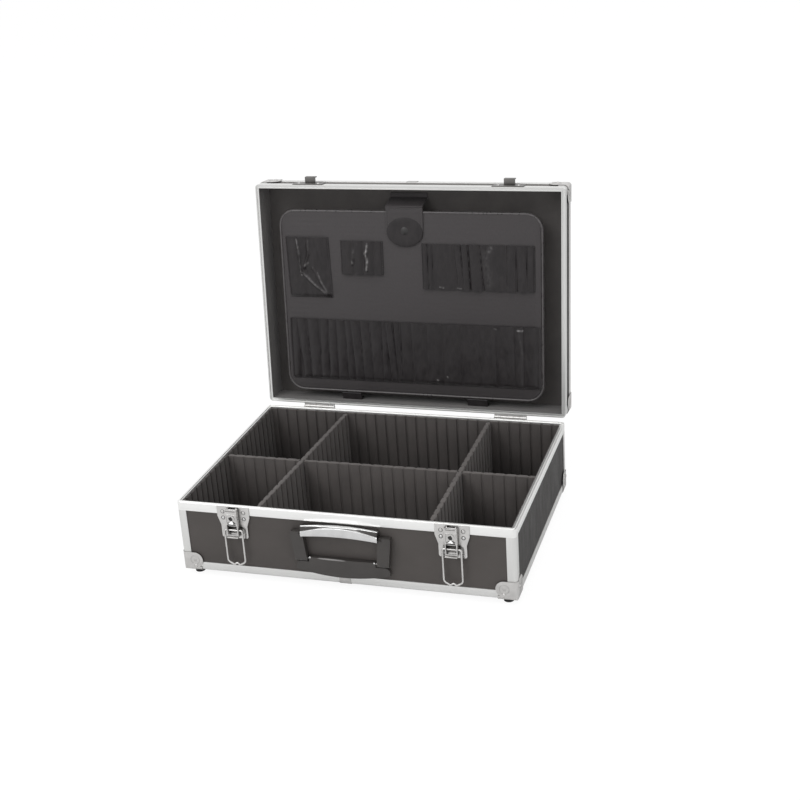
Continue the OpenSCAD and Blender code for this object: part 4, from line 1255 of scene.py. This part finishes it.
@dataclass
class Latch:
    """One draw latch: its plate, lever, lock plug and wire bail."""

    side: Side
    drop: float = 31.3
    out: float = 5.9
    wire: float = 1.3
    wide: float = 24.5
    long: float = 52.0
    top_bend: float = 2.6
    low_bend: float = 6.0
    slope: float = 30.0
    eye_wide: float = 4.5
    eye_high: float = 2.2
    box_out: float = 9.0
    keyhole_r: float = 2.9
    keyhole_off: Pair = (-0.6, 0.5)
    keyhole_levels: tuple[Pair, ...] = ((1.0, -0.2), (1.0, 0.05), (0.85, 0.1))
    raised: float = 6.6
    raised_round: float = 1.6
    raised_bead: float = 0.45
    window_drop: float = 22.5
    window_half: float = 6.6
    window_high: float = 13.5
    window_round: float = 0.8
    window_levels: tuple[Pair, ...] = ((0.0, 1.15), (0.0, 1.35), (0.4, 1.45))
    shade_half: float = 5.6
    shade_high: float = 3.4
    shade_over: float = 0.2
    shade_round: float = 0.5
    shade_levels: tuple[Pair, ...] = ((0.0, -0.3), (0.0, 0.1), (0.15, 0.15))
    tab_corners: tuple[Point, ...] = ((-2.8, -0.3, 2.2), (4.0, -0.3, 2.2), (0.4, 2.2, 0.2))
    tab_levels: tuple[Pair, ...] = ((0.0, 0.6), (1.0, 0.0), (1.0, -0.3))

    @property
    def own(self) -> str:
        """Name of the side, which the latch's pieces start with."""
        return self.side.value

    @property
    def x(self) -> float:
        """X of the latch's middle."""
        return SIZES.hardware_x * (-1 if self.side is Side.LEFT else 1)

    def build(self) -> None:
        """Builds the latch."""
        rows = (
            ("latch_plate", "latch_shield", "base", 0.3, 2),
            ("latch_lever", "latch_lever_pressing", f"{self.own}_lever", 0.45, 3),
            ("lock_plug", "lock_barrel", f"{self.own}_lock", 0.15, 2),
        )
        for node, piece, body, width, steps in rows:
            soften(f"{self.own}_{node}", f"{self.own}_{piece}", body, "bright_nickel", width, steps)
        self.bail()
        self.lock_face()
        self.window()

    def lock_face(self) -> None:
        """Sinks a dark keyhole disc into the lock as painted shade, and presses the raised square round it.
        """
        low, high = node_box(f"{self.own}_lock_plug")
        middle, y = (low + high) / 2, SIZES.front - self.box_out
        shape = [[self.keyhole_r * v + off for v, off in zip(way, self.keyhole_off)] for way in circle(24)]
        rows = [
            [(middle.x + x * size, low.y - rise, middle.z + z * size) for x, z in shape]
            for size, rise in self.keyhole_levels
        ]
        # The dark keyhole disc is painted shade
        Skin.loft(rows).add(f"{self.own}_keyhole", f"{self.own}_lock", "painted_shade_black")
        square = rectangle(2 * self.raised, 2 * self.raised, self.raised_round, (self.x, middle.z))
        path = [Vector((x, y, z)) for x, z in rounded(square, 0.0, 6)]
        skin = wire_loop(path, self.raised_bead, 10)
        skin.add(f"{self.own}_lever_square", f"{self.own}_lever", "bright_nickel")

    def window(self) -> None:
        """Lays a dark plate over the open window as painted shade, bends the pressed tab out over it, and
        darkens the plate behind it as painted shade.
        """
        lever, y = f"{self.own}_lever", SIZES.front - self.box_out
        top = SIZES.rim - self.window_drop
        upper = top + self.shade_high
        middle = (self.x, top + self.shade_high / 2 - self.shade_over)
        high = self.shade_high + 2 * self.shade_over
        shade = rectangle(2 * self.shade_half, high, self.shade_round, middle)
        rows = stack(shade, [(inset, y - out) for inset, out in self.shade_levels], 3, True)
        # A dark plate on the lever, as painted shade in the window
        Skin.loft(rows).add(f"{self.own}_painted_window_shade", lever, "painted_shade_nickel")
        rows = [
            [(self.x + x, y - out * share + back, upper + z) for x, z, out in self.tab_corners]
            for share, back in self.tab_levels
        ]
        Skin.loft(rows).add(f"{self.own}_lever_tab", lever, "grip_chrome")
        middle = (self.x, top - self.window_high / 2)
        recess = rectangle(2 * self.window_half, self.window_high, self.window_round, middle)
        rows = stack(recess, [(inset, SIZES.front - out) for inset, out in self.window_levels], 4, True)
        # The plate behind the window is darkened as painted shade
        Skin.loft(rows).add(f"{self.own}_plate_recess", "base", "shaded_nickel")

    def bail(self) -> None:
        """Draws the bent wire loop."""
        half, lean, end = self.wide / 2, math.radians(self.slope), self.wire - self.long
        top, low = self.top_bend, self.low_bend
        foot = end + (half - low * (1 - math.sin(lean)) - self.eye_wide) * math.tan(lean)
        knee = foot + low * math.cos(lean)
        right = [(half - top, 0.0)]
        for angle in (math.pi / 2 * k / 7 for k in range(1, 8)):
            right.append((half - top + top * math.sin(angle), -top + top * math.cos(angle)))
        for angle in ((math.pi / 2 - lean) * k / 9 for k in range(10)):
            right.append((half - low + low * math.cos(angle), knee - low * math.sin(angle)))
        for share in (k / 12 for k in range(12, 0, -1)):
            right.append((self.eye_wide * share, end + self.eye_high * (1 + math.cos(math.pi * share)) / 2))
        outline = [*right, (0.0, end + self.eye_high), *((-x, z) for x, z in reversed(right))]
        y, high = SIZES.front - self.out, SIZES.rim - self.drop
        skin = wire_loop([Vector((self.x + x, y, high + z)) for x, z in outline], self.wire, 16)
        skin.add(f"{self.own}_wire_bail", f"{self.own}_bail", "bright_nickel", f"{self.own}_bail")


@dataclass
class LatchFixings:
    """Pins and rivets of both latches, and the catches on the lid."""

    pip_drop: float = 16.5

    def build(self) -> None:
        """Dresses the pieces."""
        dress("bright_nickel", "lever_pins")
        level = SIZES.rim - SIZES.latch_rivet_in
        pips, heads = SIZES.latch_spots(SIZES.rim - self.pip_drop), SIZES.latch_spots(level)
        rims = pips + SIZES.latch_spots(level, SIZES.plate_thick + 0.05)
        repeat("latch_pips", domed_head, pips, "base", "grip_chrome", Radius=1.8, Height=0.9)
        # The dark rings round the pips and rivet heads are painted shade
        repeat("latch_rivet_rims", pressed_ring, rims, "base", "painted_shade_black", Radius=2.5, Bead=0.28)
        repeat("latch_rivet_heads", domed_head, heads, "base", "bright_nickel", "latch_rivets")
        # The catches get the darker nickel as painted shade
        soften("latch_catches", "catch_plates", "lid", "shaded_nickel", 0.3)


@dataclass
class Grip:
    """The bright pressed sleeve of the grip: a lip along its top, a flute and an arched front."""

    long: float = 103.0
    high: float = 14.5
    deep: float = 12.5
    rise: float = 87.0
    bow: float = 3.0
    back: float = -164.3
    lip_in: float = 3.4
    lip_least: float = 0.7
    lip_high: float = 1.5
    flute_deep: float = 1.0
    crease_middle: float = 1.5
    crease_fall: float = 5.6
    stations: int = 49

    @property
    def front(self) -> float:
        """Y of the sleeve's front."""
        return self.back - self.deep

    def share(self, x: float) -> float:
        """Square of the share of the way from the middle to an end."""
        return (2 * x / self.long) ** 2

    def top(self, x: float) -> float:
        """Height of the sleeve's top at a distance from the middle."""
        return SIZES.foot_high + self.rise - self.bow * self.share(x)

    def lip(self, x: float) -> float:
        """Y of the lip's lower edge at a distance from the middle."""
        wide = self.lip_in - self.lip_least
        return self.front + self.lip_least + wide * min(1.0, 3.0 * self.share(x)) ** 0.8

    def flute(self, x: float) -> list[Pair]:
        """Section of the flute under the lip, as depths and heights.

        Args:
            x: Distance from the middle.

        Returns:
            Its points from the lip to the crease.
        """
        top, share, front = self.top(x), self.share(x), self.front
        crease = top - self.crease_middle - self.crease_fall * share
        deep = self.flute_deep * min(1.0, 0.08 + 2.2 * share)
        start = self.lip(x) + deep
        low = min(top - self.lip_high, (top + crease) / 2)
        return [
            (start, low - 0.1),
            (front + (start - front) * 0.55, (low + crease) / 2 - 0.5 * deep * share),
            (front + 0.35, crease + 0.12),
        ]

    def section(self, x: float) -> list[Pair]:
        """Whole section of the sleeve.

        Args:
            x: Distance from the middle.

        Returns:
            Its points, starting low at the back.
        """
        top, front, back = self.top(x), self.front, self.back
        low, flute, lip = top - self.high, self.flute(x), self.lip(x)
        crease = flute[-1][1] - 0.3
        high = min(self.lip_high, (top - flute[-1][1]) / 2)
        return [
            (back, low + 4.0), (back, top - 4.0), (back - 1.1, top - 1.5), (back - 3.6, top - 0.3),
            (lip + 1.2, top - 0.1), (lip + 0.3, top - 0.15), (lip, top - high / 3), (lip, top - high), *flute,
            (front + 0.1, crease), (front + 0.02, crease * 0.6 + low * 0.4), (front, low + 2.2),
            (front + 0.5, low + 0.8), (front + 1.8, low), (back - 4.0, low), (back - 1.2, low + 1.2),
        ]

    def build(self) -> None:
        """Draws the sleeve, and a darker sheet on its flute as painted shade."""
        places = [self.long * (k / (self.stations - 1) - 0.5) for k in range(self.stations)]
        rows = [[(x, y, z) for y, z in self.section(x)] for x in places]
        Skin.loft(rows).add("grip_sleeve", "handle", "grip_chrome", "grip_cover")
        # A thin darker sheet over the flute, as painted shade
        rows = []
        for x in places[1:-1]:
            face = self.flute(x)
            outer = [(x, y - 0.06, z + 0.06) for y, z in face]
            rows.append(outer + [(x, y + 0.1, z - 0.1) for y, z in reversed(face)])
        Skin.loft(rows).add("grip_flute_face", "handle", "grip_flute_painted_shade")


@dataclass
class Handle:
    """The carrying handle: bracket, arms and bright grip cover."""

    wide: float = 127.0
    edge_round: float = 0.8
    bulge_fall: float = 2.5
    shine_from: float = -42.0
    shine_to: float = 14.0
    shine_wide: float = 1.1
    shine_in: float = 0.75
    pin_x: float = 43.6
    pin_drop: float = 0.9
    pin_sunk: float = 0.3

    def build(self) -> None:
        """Builds the handle."""
        soften("handle_base", "handle_bracket", "base", "moulded_black", self.edge_round, 3)
        soften("handle_loop", "handle_arms", "handle", "moulded_black", self.edge_round, 3)
        Grip().build()
        self.wear_and_painted_highlight()
        dress("bright_nickel", "handle_pins")
        dress("satin_nickel", "handle_screws")

    def wear_and_painted_highlight(self) -> None:
        """Draws a painted highlight along the bracket's upper edge, and the pivot pins' ends."""
        low, high = node_box("handle_base")
        rows = []
        for share in (k / 24 for k in range(25)):
            x = self.shine_from + (self.shine_to - self.shine_from) * share
            # It tapers off at both ends
            size = self.shine_wide * math.sin(math.pi * (0.04 + 0.92 * share)) ** 0.6
            y, z = self.face(low.y, x) + self.shine_in, high.z - self.shine_in
            rows.append([(x, y + size * c, z + size * s) for c, s in circle(10)])
        # Painted highlight: a pale bead along the bracket's top edge
        Skin.loft(rows).add("bracket_painted_highlight", "base", "painted_highlight_plastic")
        y = self.face(low.y, self.pin_x) + self.pin_sunk
        heads = [Spot((side * self.pin_x, y, high.z - self.pin_drop), (0, -1, 0)) for side in (-1, 1)]
        repeat("handle_pin_heads", domed_head, heads, "base", "grip_chrome", Radius=1.3, Height=0.7)

    def face(self, front: float, x: float) -> float:
        """Y of the bracket's bulging face, from its front, at a distance from the middle."""
        return front + self.bulge_fall * (2 * x / self.wide) ** 2


@dataclass
class Pleat:
    """One soft channel of a pocket, between two seams."""

    start: float
    end: float
    high: float
    lean: float = 0.0


@dataclass
class Ridge:
    """A sharp crease that stands up along a line of points, given across and down."""

    line: list[Pair]
    high: float
    wide: float

    def at(self, u: float, v: float) -> float:
        """Height of the crease.

        Args:
            u: Distance across.
            v: Distance down.

        Returns:
            Its height there.
        """
        spot = Vector((u, v))
        near = math.inf
        for first, last in zip(self.line, self.line[1:]):
            a, b = Vector(first), Vector(last)
            share = max(0.0, min(1.0, (spot - a).dot(b - a) / max((b - a).length_squared, 1e-6)))
            near = min(near, (spot - (a + (b - a) * share)).length)
        return self.high * math.exp(-((near / self.wide) ** 2))


def eased(share: float) -> float:
    """Soft rise from 0 to 1."""
    return math.sin(min(1.0, max(0.0, share)) * math.pi / 2)


@dataclass
class Pocket:
    """A thin vinyl pocket sewn on the pallet, placed by its left and top edges."""

    node: str
    name: str
    left: float
    top: float
    wide: float
    high: float
    closed: bool
    pleats: list[Pleat]
    ridges: list[Ridge]
    crumple: float
    skew: float
    seed: float
    glints: list[Ridge]
    lift: float = 1.1
    sheet: float = 0.5
    least: float = 0.45
    most: float = 7.7
    pitch: float = 0.8
    hem: float = 3.5
    closed_hem: float = 7.0
    stitch_pitch: float = 3.2
    seam_in: float = 1.2
    closed_seam_in: float = 1.4
    stitch_sunk: float = 0.05
    least_lift: float = 0.35

    def height(self, u: float, v: float) -> float:
        """Height of the sheet above the board.

        Args:
            u: Distance across from the left edge.
            v: Distance down from the mouth.

        Returns:
            The height.
        """
        rise = 0.0
        for pleat in self.pleats:
            shift = pleat.lean * (v / self.high - 0.5)
            share = (u - shift - pleat.start) / (pleat.end - pleat.start)
            if 0.0 < share < 1.0:
                rise = max(rise, pleat.high * (1 - abs(2 * share - 1) ** 2.2) ** 0.8)
        rise += sum(ridge.at(u, v) for ridge in self.ridges)
        soft = noise.noise(Vector((u / 17 + self.seed, v / 31, self.seed)))
        fine = noise.noise(Vector((u / 5 + self.seed, v / 12, 3 + self.seed)))
        rise += self.crumple * (1.4 * soft + 0.6 * fine)
        hem = eased(min(u, self.wide - u) / self.hem)
        if self.closed:
            hem *= eased((self.high - v) / self.closed_hem)
        return self.least + hem * max(self.least_lift, min(rise + self.lift, self.most - self.least))

    def wear_and_painted_highlight(self, u: float, v: float) -> float:
        """Share of painted highlight on the sheet's sharp creases, from 0 to 1.

        Args:
            u: Distance across.
            v: Distance down.

        Returns:
            The share of the painted glint colour.
        """
        drift = noise.noise(Vector((u / 3.0, v / 4.0, self.seed)))
        most = max(glint.at(u, v) for glint in self.glints)
        return max(0.0, min(1.0, most * (0.75 + 0.9 * drift)))

    def at(self, u: float, v: float) -> Point:
        """Point of the sheet at a distance across and down."""
        (x, y, face), slip = SIZES.pallet_corner, self.skew * (v / self.high)
        return x + self.left + u + slip, y + self.top + v, face - self.height(u, v)

    def build(self) -> None:
        """Draws the pocket and its seams."""
        across, down = int(self.wide / self.pitch), int(self.high / (self.pitch * 1.6))
        spots = [
            [(self.wide * i / across, self.high * j / down) for i in range(across + 1)]
            for j in range(down + 1)
        ]
        skin = Skin.loft([[self.at(u, v) for u, v in row] for row in spots], Ends.OPEN, False)
        made = bmesh.new()
        # Painted highlight: each point stores its share of glint colour
        painted_glint = made.verts.layers.float.new("painted_glint")
        verts = [made.verts.new(p) for p in skin.points]
        for vert, (u, v) in zip(verts, sum(spots, [])):
            vert[painted_glint] = self.wear_and_painted_highlight(u, v)
        for quad in skin.faces:
            made.faces.new([verts[i] for i in reversed(quad)])
        bmesh.ops.recalc_face_normals(made, faces=made.faces)
        if sum(f.normal.z * f.calc_area() for f in made.faces) > 0:
            bmesh.ops.reverse_faces(made, faces=made.faces)
        bmesh.ops.solidify(made, geom=made.faces[:], thickness=self.sheet)
        # The rim's faces come in a different order each time
        made.verts.index_update()
        total = len(made.verts)
        made.faces.sort(key=lambda face: face.verts[0].index * total + face.verts[1].index)
        mesh = finished_mesh(made, self.name, to_frame("pallet"), math.radians(60))
        place(self.name, mesh, "pallet", "black_vinyl", [self.node])
        self.seams()

    def seams(self) -> None:
        """Sews the pocket down along its edges."""
        pitch, inset = self.stitch_pitch, self.seam_in
        sewn: list[tuple[float, float, Point]] = []
        for k in range(int(self.high / pitch)):
            v = pitch / 2 + pitch * k
            sewn += [(inset, v, (0, 1, 0)), (self.wide - inset, v, (0, 1, 0))]
        if self.closed:
            v = self.high - self.closed_seam_in
            sewn += [(pitch / 2 + pitch * k, v, (1, 0, 0)) for k in range(int(self.wide / pitch))]
        spots = []
        for u, v, along in sewn:
            x, y, z = self.at(u, v)
            spots.append(Spot((x, y, z - self.stitch_sunk), (0, 0, -1), along))
        repeat(f"{self.name}_stitches", stitch, spots, "pallet", "thread")


def random_pleats(
    seed: int, start: float, end: float, count: int, low: float, high: float, lean: float
) -> list[Pleat]:
    """Uneven pleats side by side.

    Args:
        seed: Seed of the draw.
        start: Where the first begins.
        end: Where the last ends.
        count: How many there are.
        low: Least height.
        high: Greatest height.
        lean: Greatest sideways lean.

    Returns:
        The pleats.
    """
    draw = random.Random(seed)
    weights = [draw.uniform(0.6, 1.4) for _ in range(count)]
    scale = (end - start) / sum(weights)
    pleats, here = [], start
    for weight in weights:
        width = weight * scale
        pleats.append(Pleat(here, here + width, draw.uniform(low, high), draw.uniform(-0.2, 1.0) * lean))
        here += width
    return pleats


TALL_POCKET = Pocket(
    "tall_pocket", "tall_pocket_sheet", 9, 44, 67, 90, True,
    [Pleat(0, 34, 2.6), Pleat(26, 67, 2.9)],
    [
        Ridge([(19, 0), (20, 28), (22, 52)], 3.4, 1.6),
        Ridge([(22, 52), (37, 67), (59, 84)], 3.0, 1.7),
        Ridge([(40, 46), (50, 64), (60, 84)], 2.2, 1.6),
        Ridge([(36, 0), (35, 24), (27, 44)], 2.2, 2.4),
    ],
    0.9, 3.0, 2.0,
    [
        Ridge([(19, 2), (20, 12), (21, 24)], 0.30, 0.9), Ridge([(21, 24), (21, 40), (22, 54)], 0.13, 0.7),
        Ridge([(23, 52), (38, 66), (56, 82)], 0.16, 0.8), Ridge([(47, 52), (52, 66), (60, 82)], 0.14, 0.8),
        Ridge([(28, 42), (33, 38)], 0.20, 1.3), Ridge([(36, 4), (35, 18)], 0.05, 1.6),
        Ridge([(22, 55), (22, 56)], 0.3, 1.0),
    ],
)
SHORT_POCKET = Pocket(
    "short_pocket", "short_pocket_band", 94, 48, 65, 49, False,
    [Pleat(0, 22, 2.4), Pleat(20, 36, 3.0), Pleat(34, 52, 3.4), Pleat(50, 65, 2.6)],
    [Ridge([(42, 5), (40, 20), (40, 42)], 2.4, 1.8), Ridge([(20, 18), (18, 34)], 1.4, 1.6)],
    0.6, 0.0, 5.0,
    [
        Ridge([(42, 6), (41, 14), (38, 18)], 0.42, 1.5), Ridge([(39, 18), (42, 28), (40, 42)], 0.40, 1.2),
        Ridge([(17.5, 30), (18.5, 33)], 0.30, 0.9), Ridge([(20, 10), (20, 24)], 0.05, 1.4),
    ],
)
UPPER_LOOPS = Pocket(
    "upper_tool_loops", "upper_loops_band", 217, 50, 165, 66, False,
    [
        Pleat(0, 9, 1.8, 2), Pleat(9, 16, 2.5, 1), Pleat(16, 50, 1.8, 1), Pleat(50, 60, 2.8, 6),
        Pleat(59, 70, 3.2, 3), Pleat(70, 88, 4.6, 4), Pleat(88, 96, 1.9, 6), Pleat(95, 124, 2.2, 3),
        Pleat(124, 138, 3.0, 0), Pleat(138, 153, 3.3, 2), Pleat(153, 165, 2.2, 0),
    ],
    [], 0.45, 0.0, 8.0,
    [
        Ridge([(26, 62), (32, 63)], 0.22, 0.8), Ridge([(52, 63), (58, 63.5)], 0.18, 0.8),
        Ridge([(102, 4), (99, 9)], 0.12, 2.4), Ridge([(94, 12), (99, 56)], 0.035, 5.0),
    ],
)
LOWER_POCKET = Pocket(
    "lower_tool_pocket", "lower_pocket_sheet", 8, 167, 381, 93, True,
    random_pleats(11, 2, 190, 14, 1.9, 3.2, 8.0) + random_pleats(5, 190, 376, 8, 2.0, 3.0, 6.0),
    [], 0.4, 0.0, 12.0,
    [
        Ridge([(348, 5), (355, 5.5)], 0.45, 1.0), Ridge([(314, 4), (317, 5)], 0.14, 1.0),
        Ridge([(307, -4), (311, -4)], 0.12, 1.6), Ridge([(228, 84), (229, 85)], 0.40, 1.0),
        Ridge([(243, 79), (244, 80)], 0.36, 1.0), Ridge([(350, 10), (356, 48)], 0.03, 1.6),
    ],
)


@dataclass
class Pallet:
    """The cloth-covered tool pallet in the lid, with its piping, pockets and straps."""

    high: float = 279.0
    board: float = 5.0
    corner: float = 25.0
    bead: float = 4.0
    bead_in: float = 3.5
    proud: float = 0.5
    strap_wide: float = 55.0
    strap_x: float = -6.0
    strap_thick: float = 1.6
    strap_up: float = 2.0
    tongue: float = 56.0
    tongue_levels: tuple[Pair, ...] = (
        (0.0, 1.6), (0.0, 0.5), (0.25, 0.12), (0.7, 0.0), (2.4, 0.0), (3.0, 0.25), (3.8, 0.05), (9.0, 0.0),
    )
    stitch_in: float = 3.0
    stitch_pitch: float = 3.0
    stitch_from: float = 2.0
    stitch_rise: float = 0.18
    patch_down: float = 33.6
    patch_wider: float = 1.27
    patch_levels: tuple[Pair, ...] = (
        (21.2, 0.0), (21.1, 0.3), (20.4, 0.5), (16.0, 0.9), (12.0, 0.8), (8.6, 0.45), (4.0, 0.5), (1.0, 0.5),
    )
    pockets: tuple[Pocket, ...] = (TALL_POCKET, SHORT_POCKET, UPPER_LOOPS, LOWER_POCKET)

    @property
    def over(self) -> float:
        """Height of the tongue's outer face."""
        return SIZES.pallet_corner[2] - self.proud - self.strap_thick

    def build(self) -> None:
        """Builds the pallet."""
        soften("pallet_board", "pallet_panel", "pallet", "pallet_cloth", 0.6)
        self.piping()
        for pocket in self.pockets:
            pocket.build()
        self.straps()
        self.patch()
        soften("strap_stud", "snap_cap", "pallet", "black_snap", 0.2)
        soften("pallet_hinge_straps", "cloth_hinges", "lid", "black_vinyl", 0.3)

    def piping(self) -> None:
        """Draws the round bead sewn round the board."""
        centre = (SIZES.pallet_middle, SIZES.pallet_front + (self.high + self.bead_in) / 2)
        corners = rectangle(SIZES.pallet_wide, self.high - self.bead_in, self.corner, centre)
        half = self.board / 2 + self.proud
        middle = SIZES.pallet_corner[2] + self.board / 2
        levels = [(self.bead / 2 * (1 + c), middle + half * s) for c, s in circle(20)]
        skin = Skin.loft(stack(corners, levels, 12), Ends.JOINED)
        # The piping's lighter vinyl is partly its own grey and partly painted highlight
        skin.add("pallet_bead", "pallet", "pallet_piping", "pallet_piping")

    def straps(self) -> None:
        """Draws the top strap's band, its tongue and the stitches round the tongue."""
        soften("top_strap", "lid_strap", "lid", "pallet_cloth", 0.3)
        x, half, over = self.strap_x, self.strap_wide / 2, self.over
        top = SIZES.pallet_front - self.strap_up
        end = top + self.tongue
        outline = [
            (x - half, top, 0.4), (x + half, top, 0.4),
            (x + half, end, half - 0.1), (x - half, end, half - 0.1),
        ]
        levels = [(inset, over + sunk) for inset, sunk in self.tongue_levels]
        Skin.loft(stack(outline, levels, 14)).add("strap_end", "pallet", "pallet_cloth", "strap_tongue")
        line = [Vector(p) for p in rounded(outline, self.stitch_in, 14)]
        spots = []
        for a, b in zip(line, line[1:] + line[:1]):
            way = b - a
            count = max(1, round(way.length / self.stitch_pitch))
            for spot in (a + way * (k + 0.5) / count for k in range(count)):
                if spot.y > top + self.stitch_from:
                    at = (spot.x, spot.y, over + self.stitch_rise)
                    spots.append(Spot(at, (0, 0, -1), (way.x, way.y, 0)))
        repeat("strap_stitches", stitch, spots, "pallet", "thread")

    def patch(self) -> None:
        """Draws the dark round patch that the snap is set in."""
        y = SIZES.pallet_front + self.patch_down
        x, wider = self.strap_x, self.patch_wider
        rows = [
            [(x + wider * radius * c, y + radius * s, self.over - rise) for c, s in circle(40)]
            for radius, rise in self.patch_levels
        ]
        Skin.loft(rows).add("snap_patch", "pallet", "black_vinyl")


def main() -> None:
    """Builds the studio and every sub-assembly of the case in order."""
    logging.basicConfig(level=logging.INFO, format="%(name)s: %(message)s")
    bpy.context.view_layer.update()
    parts = [
        Studio(), Shell("base", False), Shell("lid", True), Interior(), Hardware(),
        Latch(Side.LEFT), Latch(Side.RIGHT), LatchFixings(), Handle(), Pallet(),
    ]
    for part in parts:
        part.build()
        LOG.info("built %s", type(part).__name__)


if __name__ == "__main__":
    main()
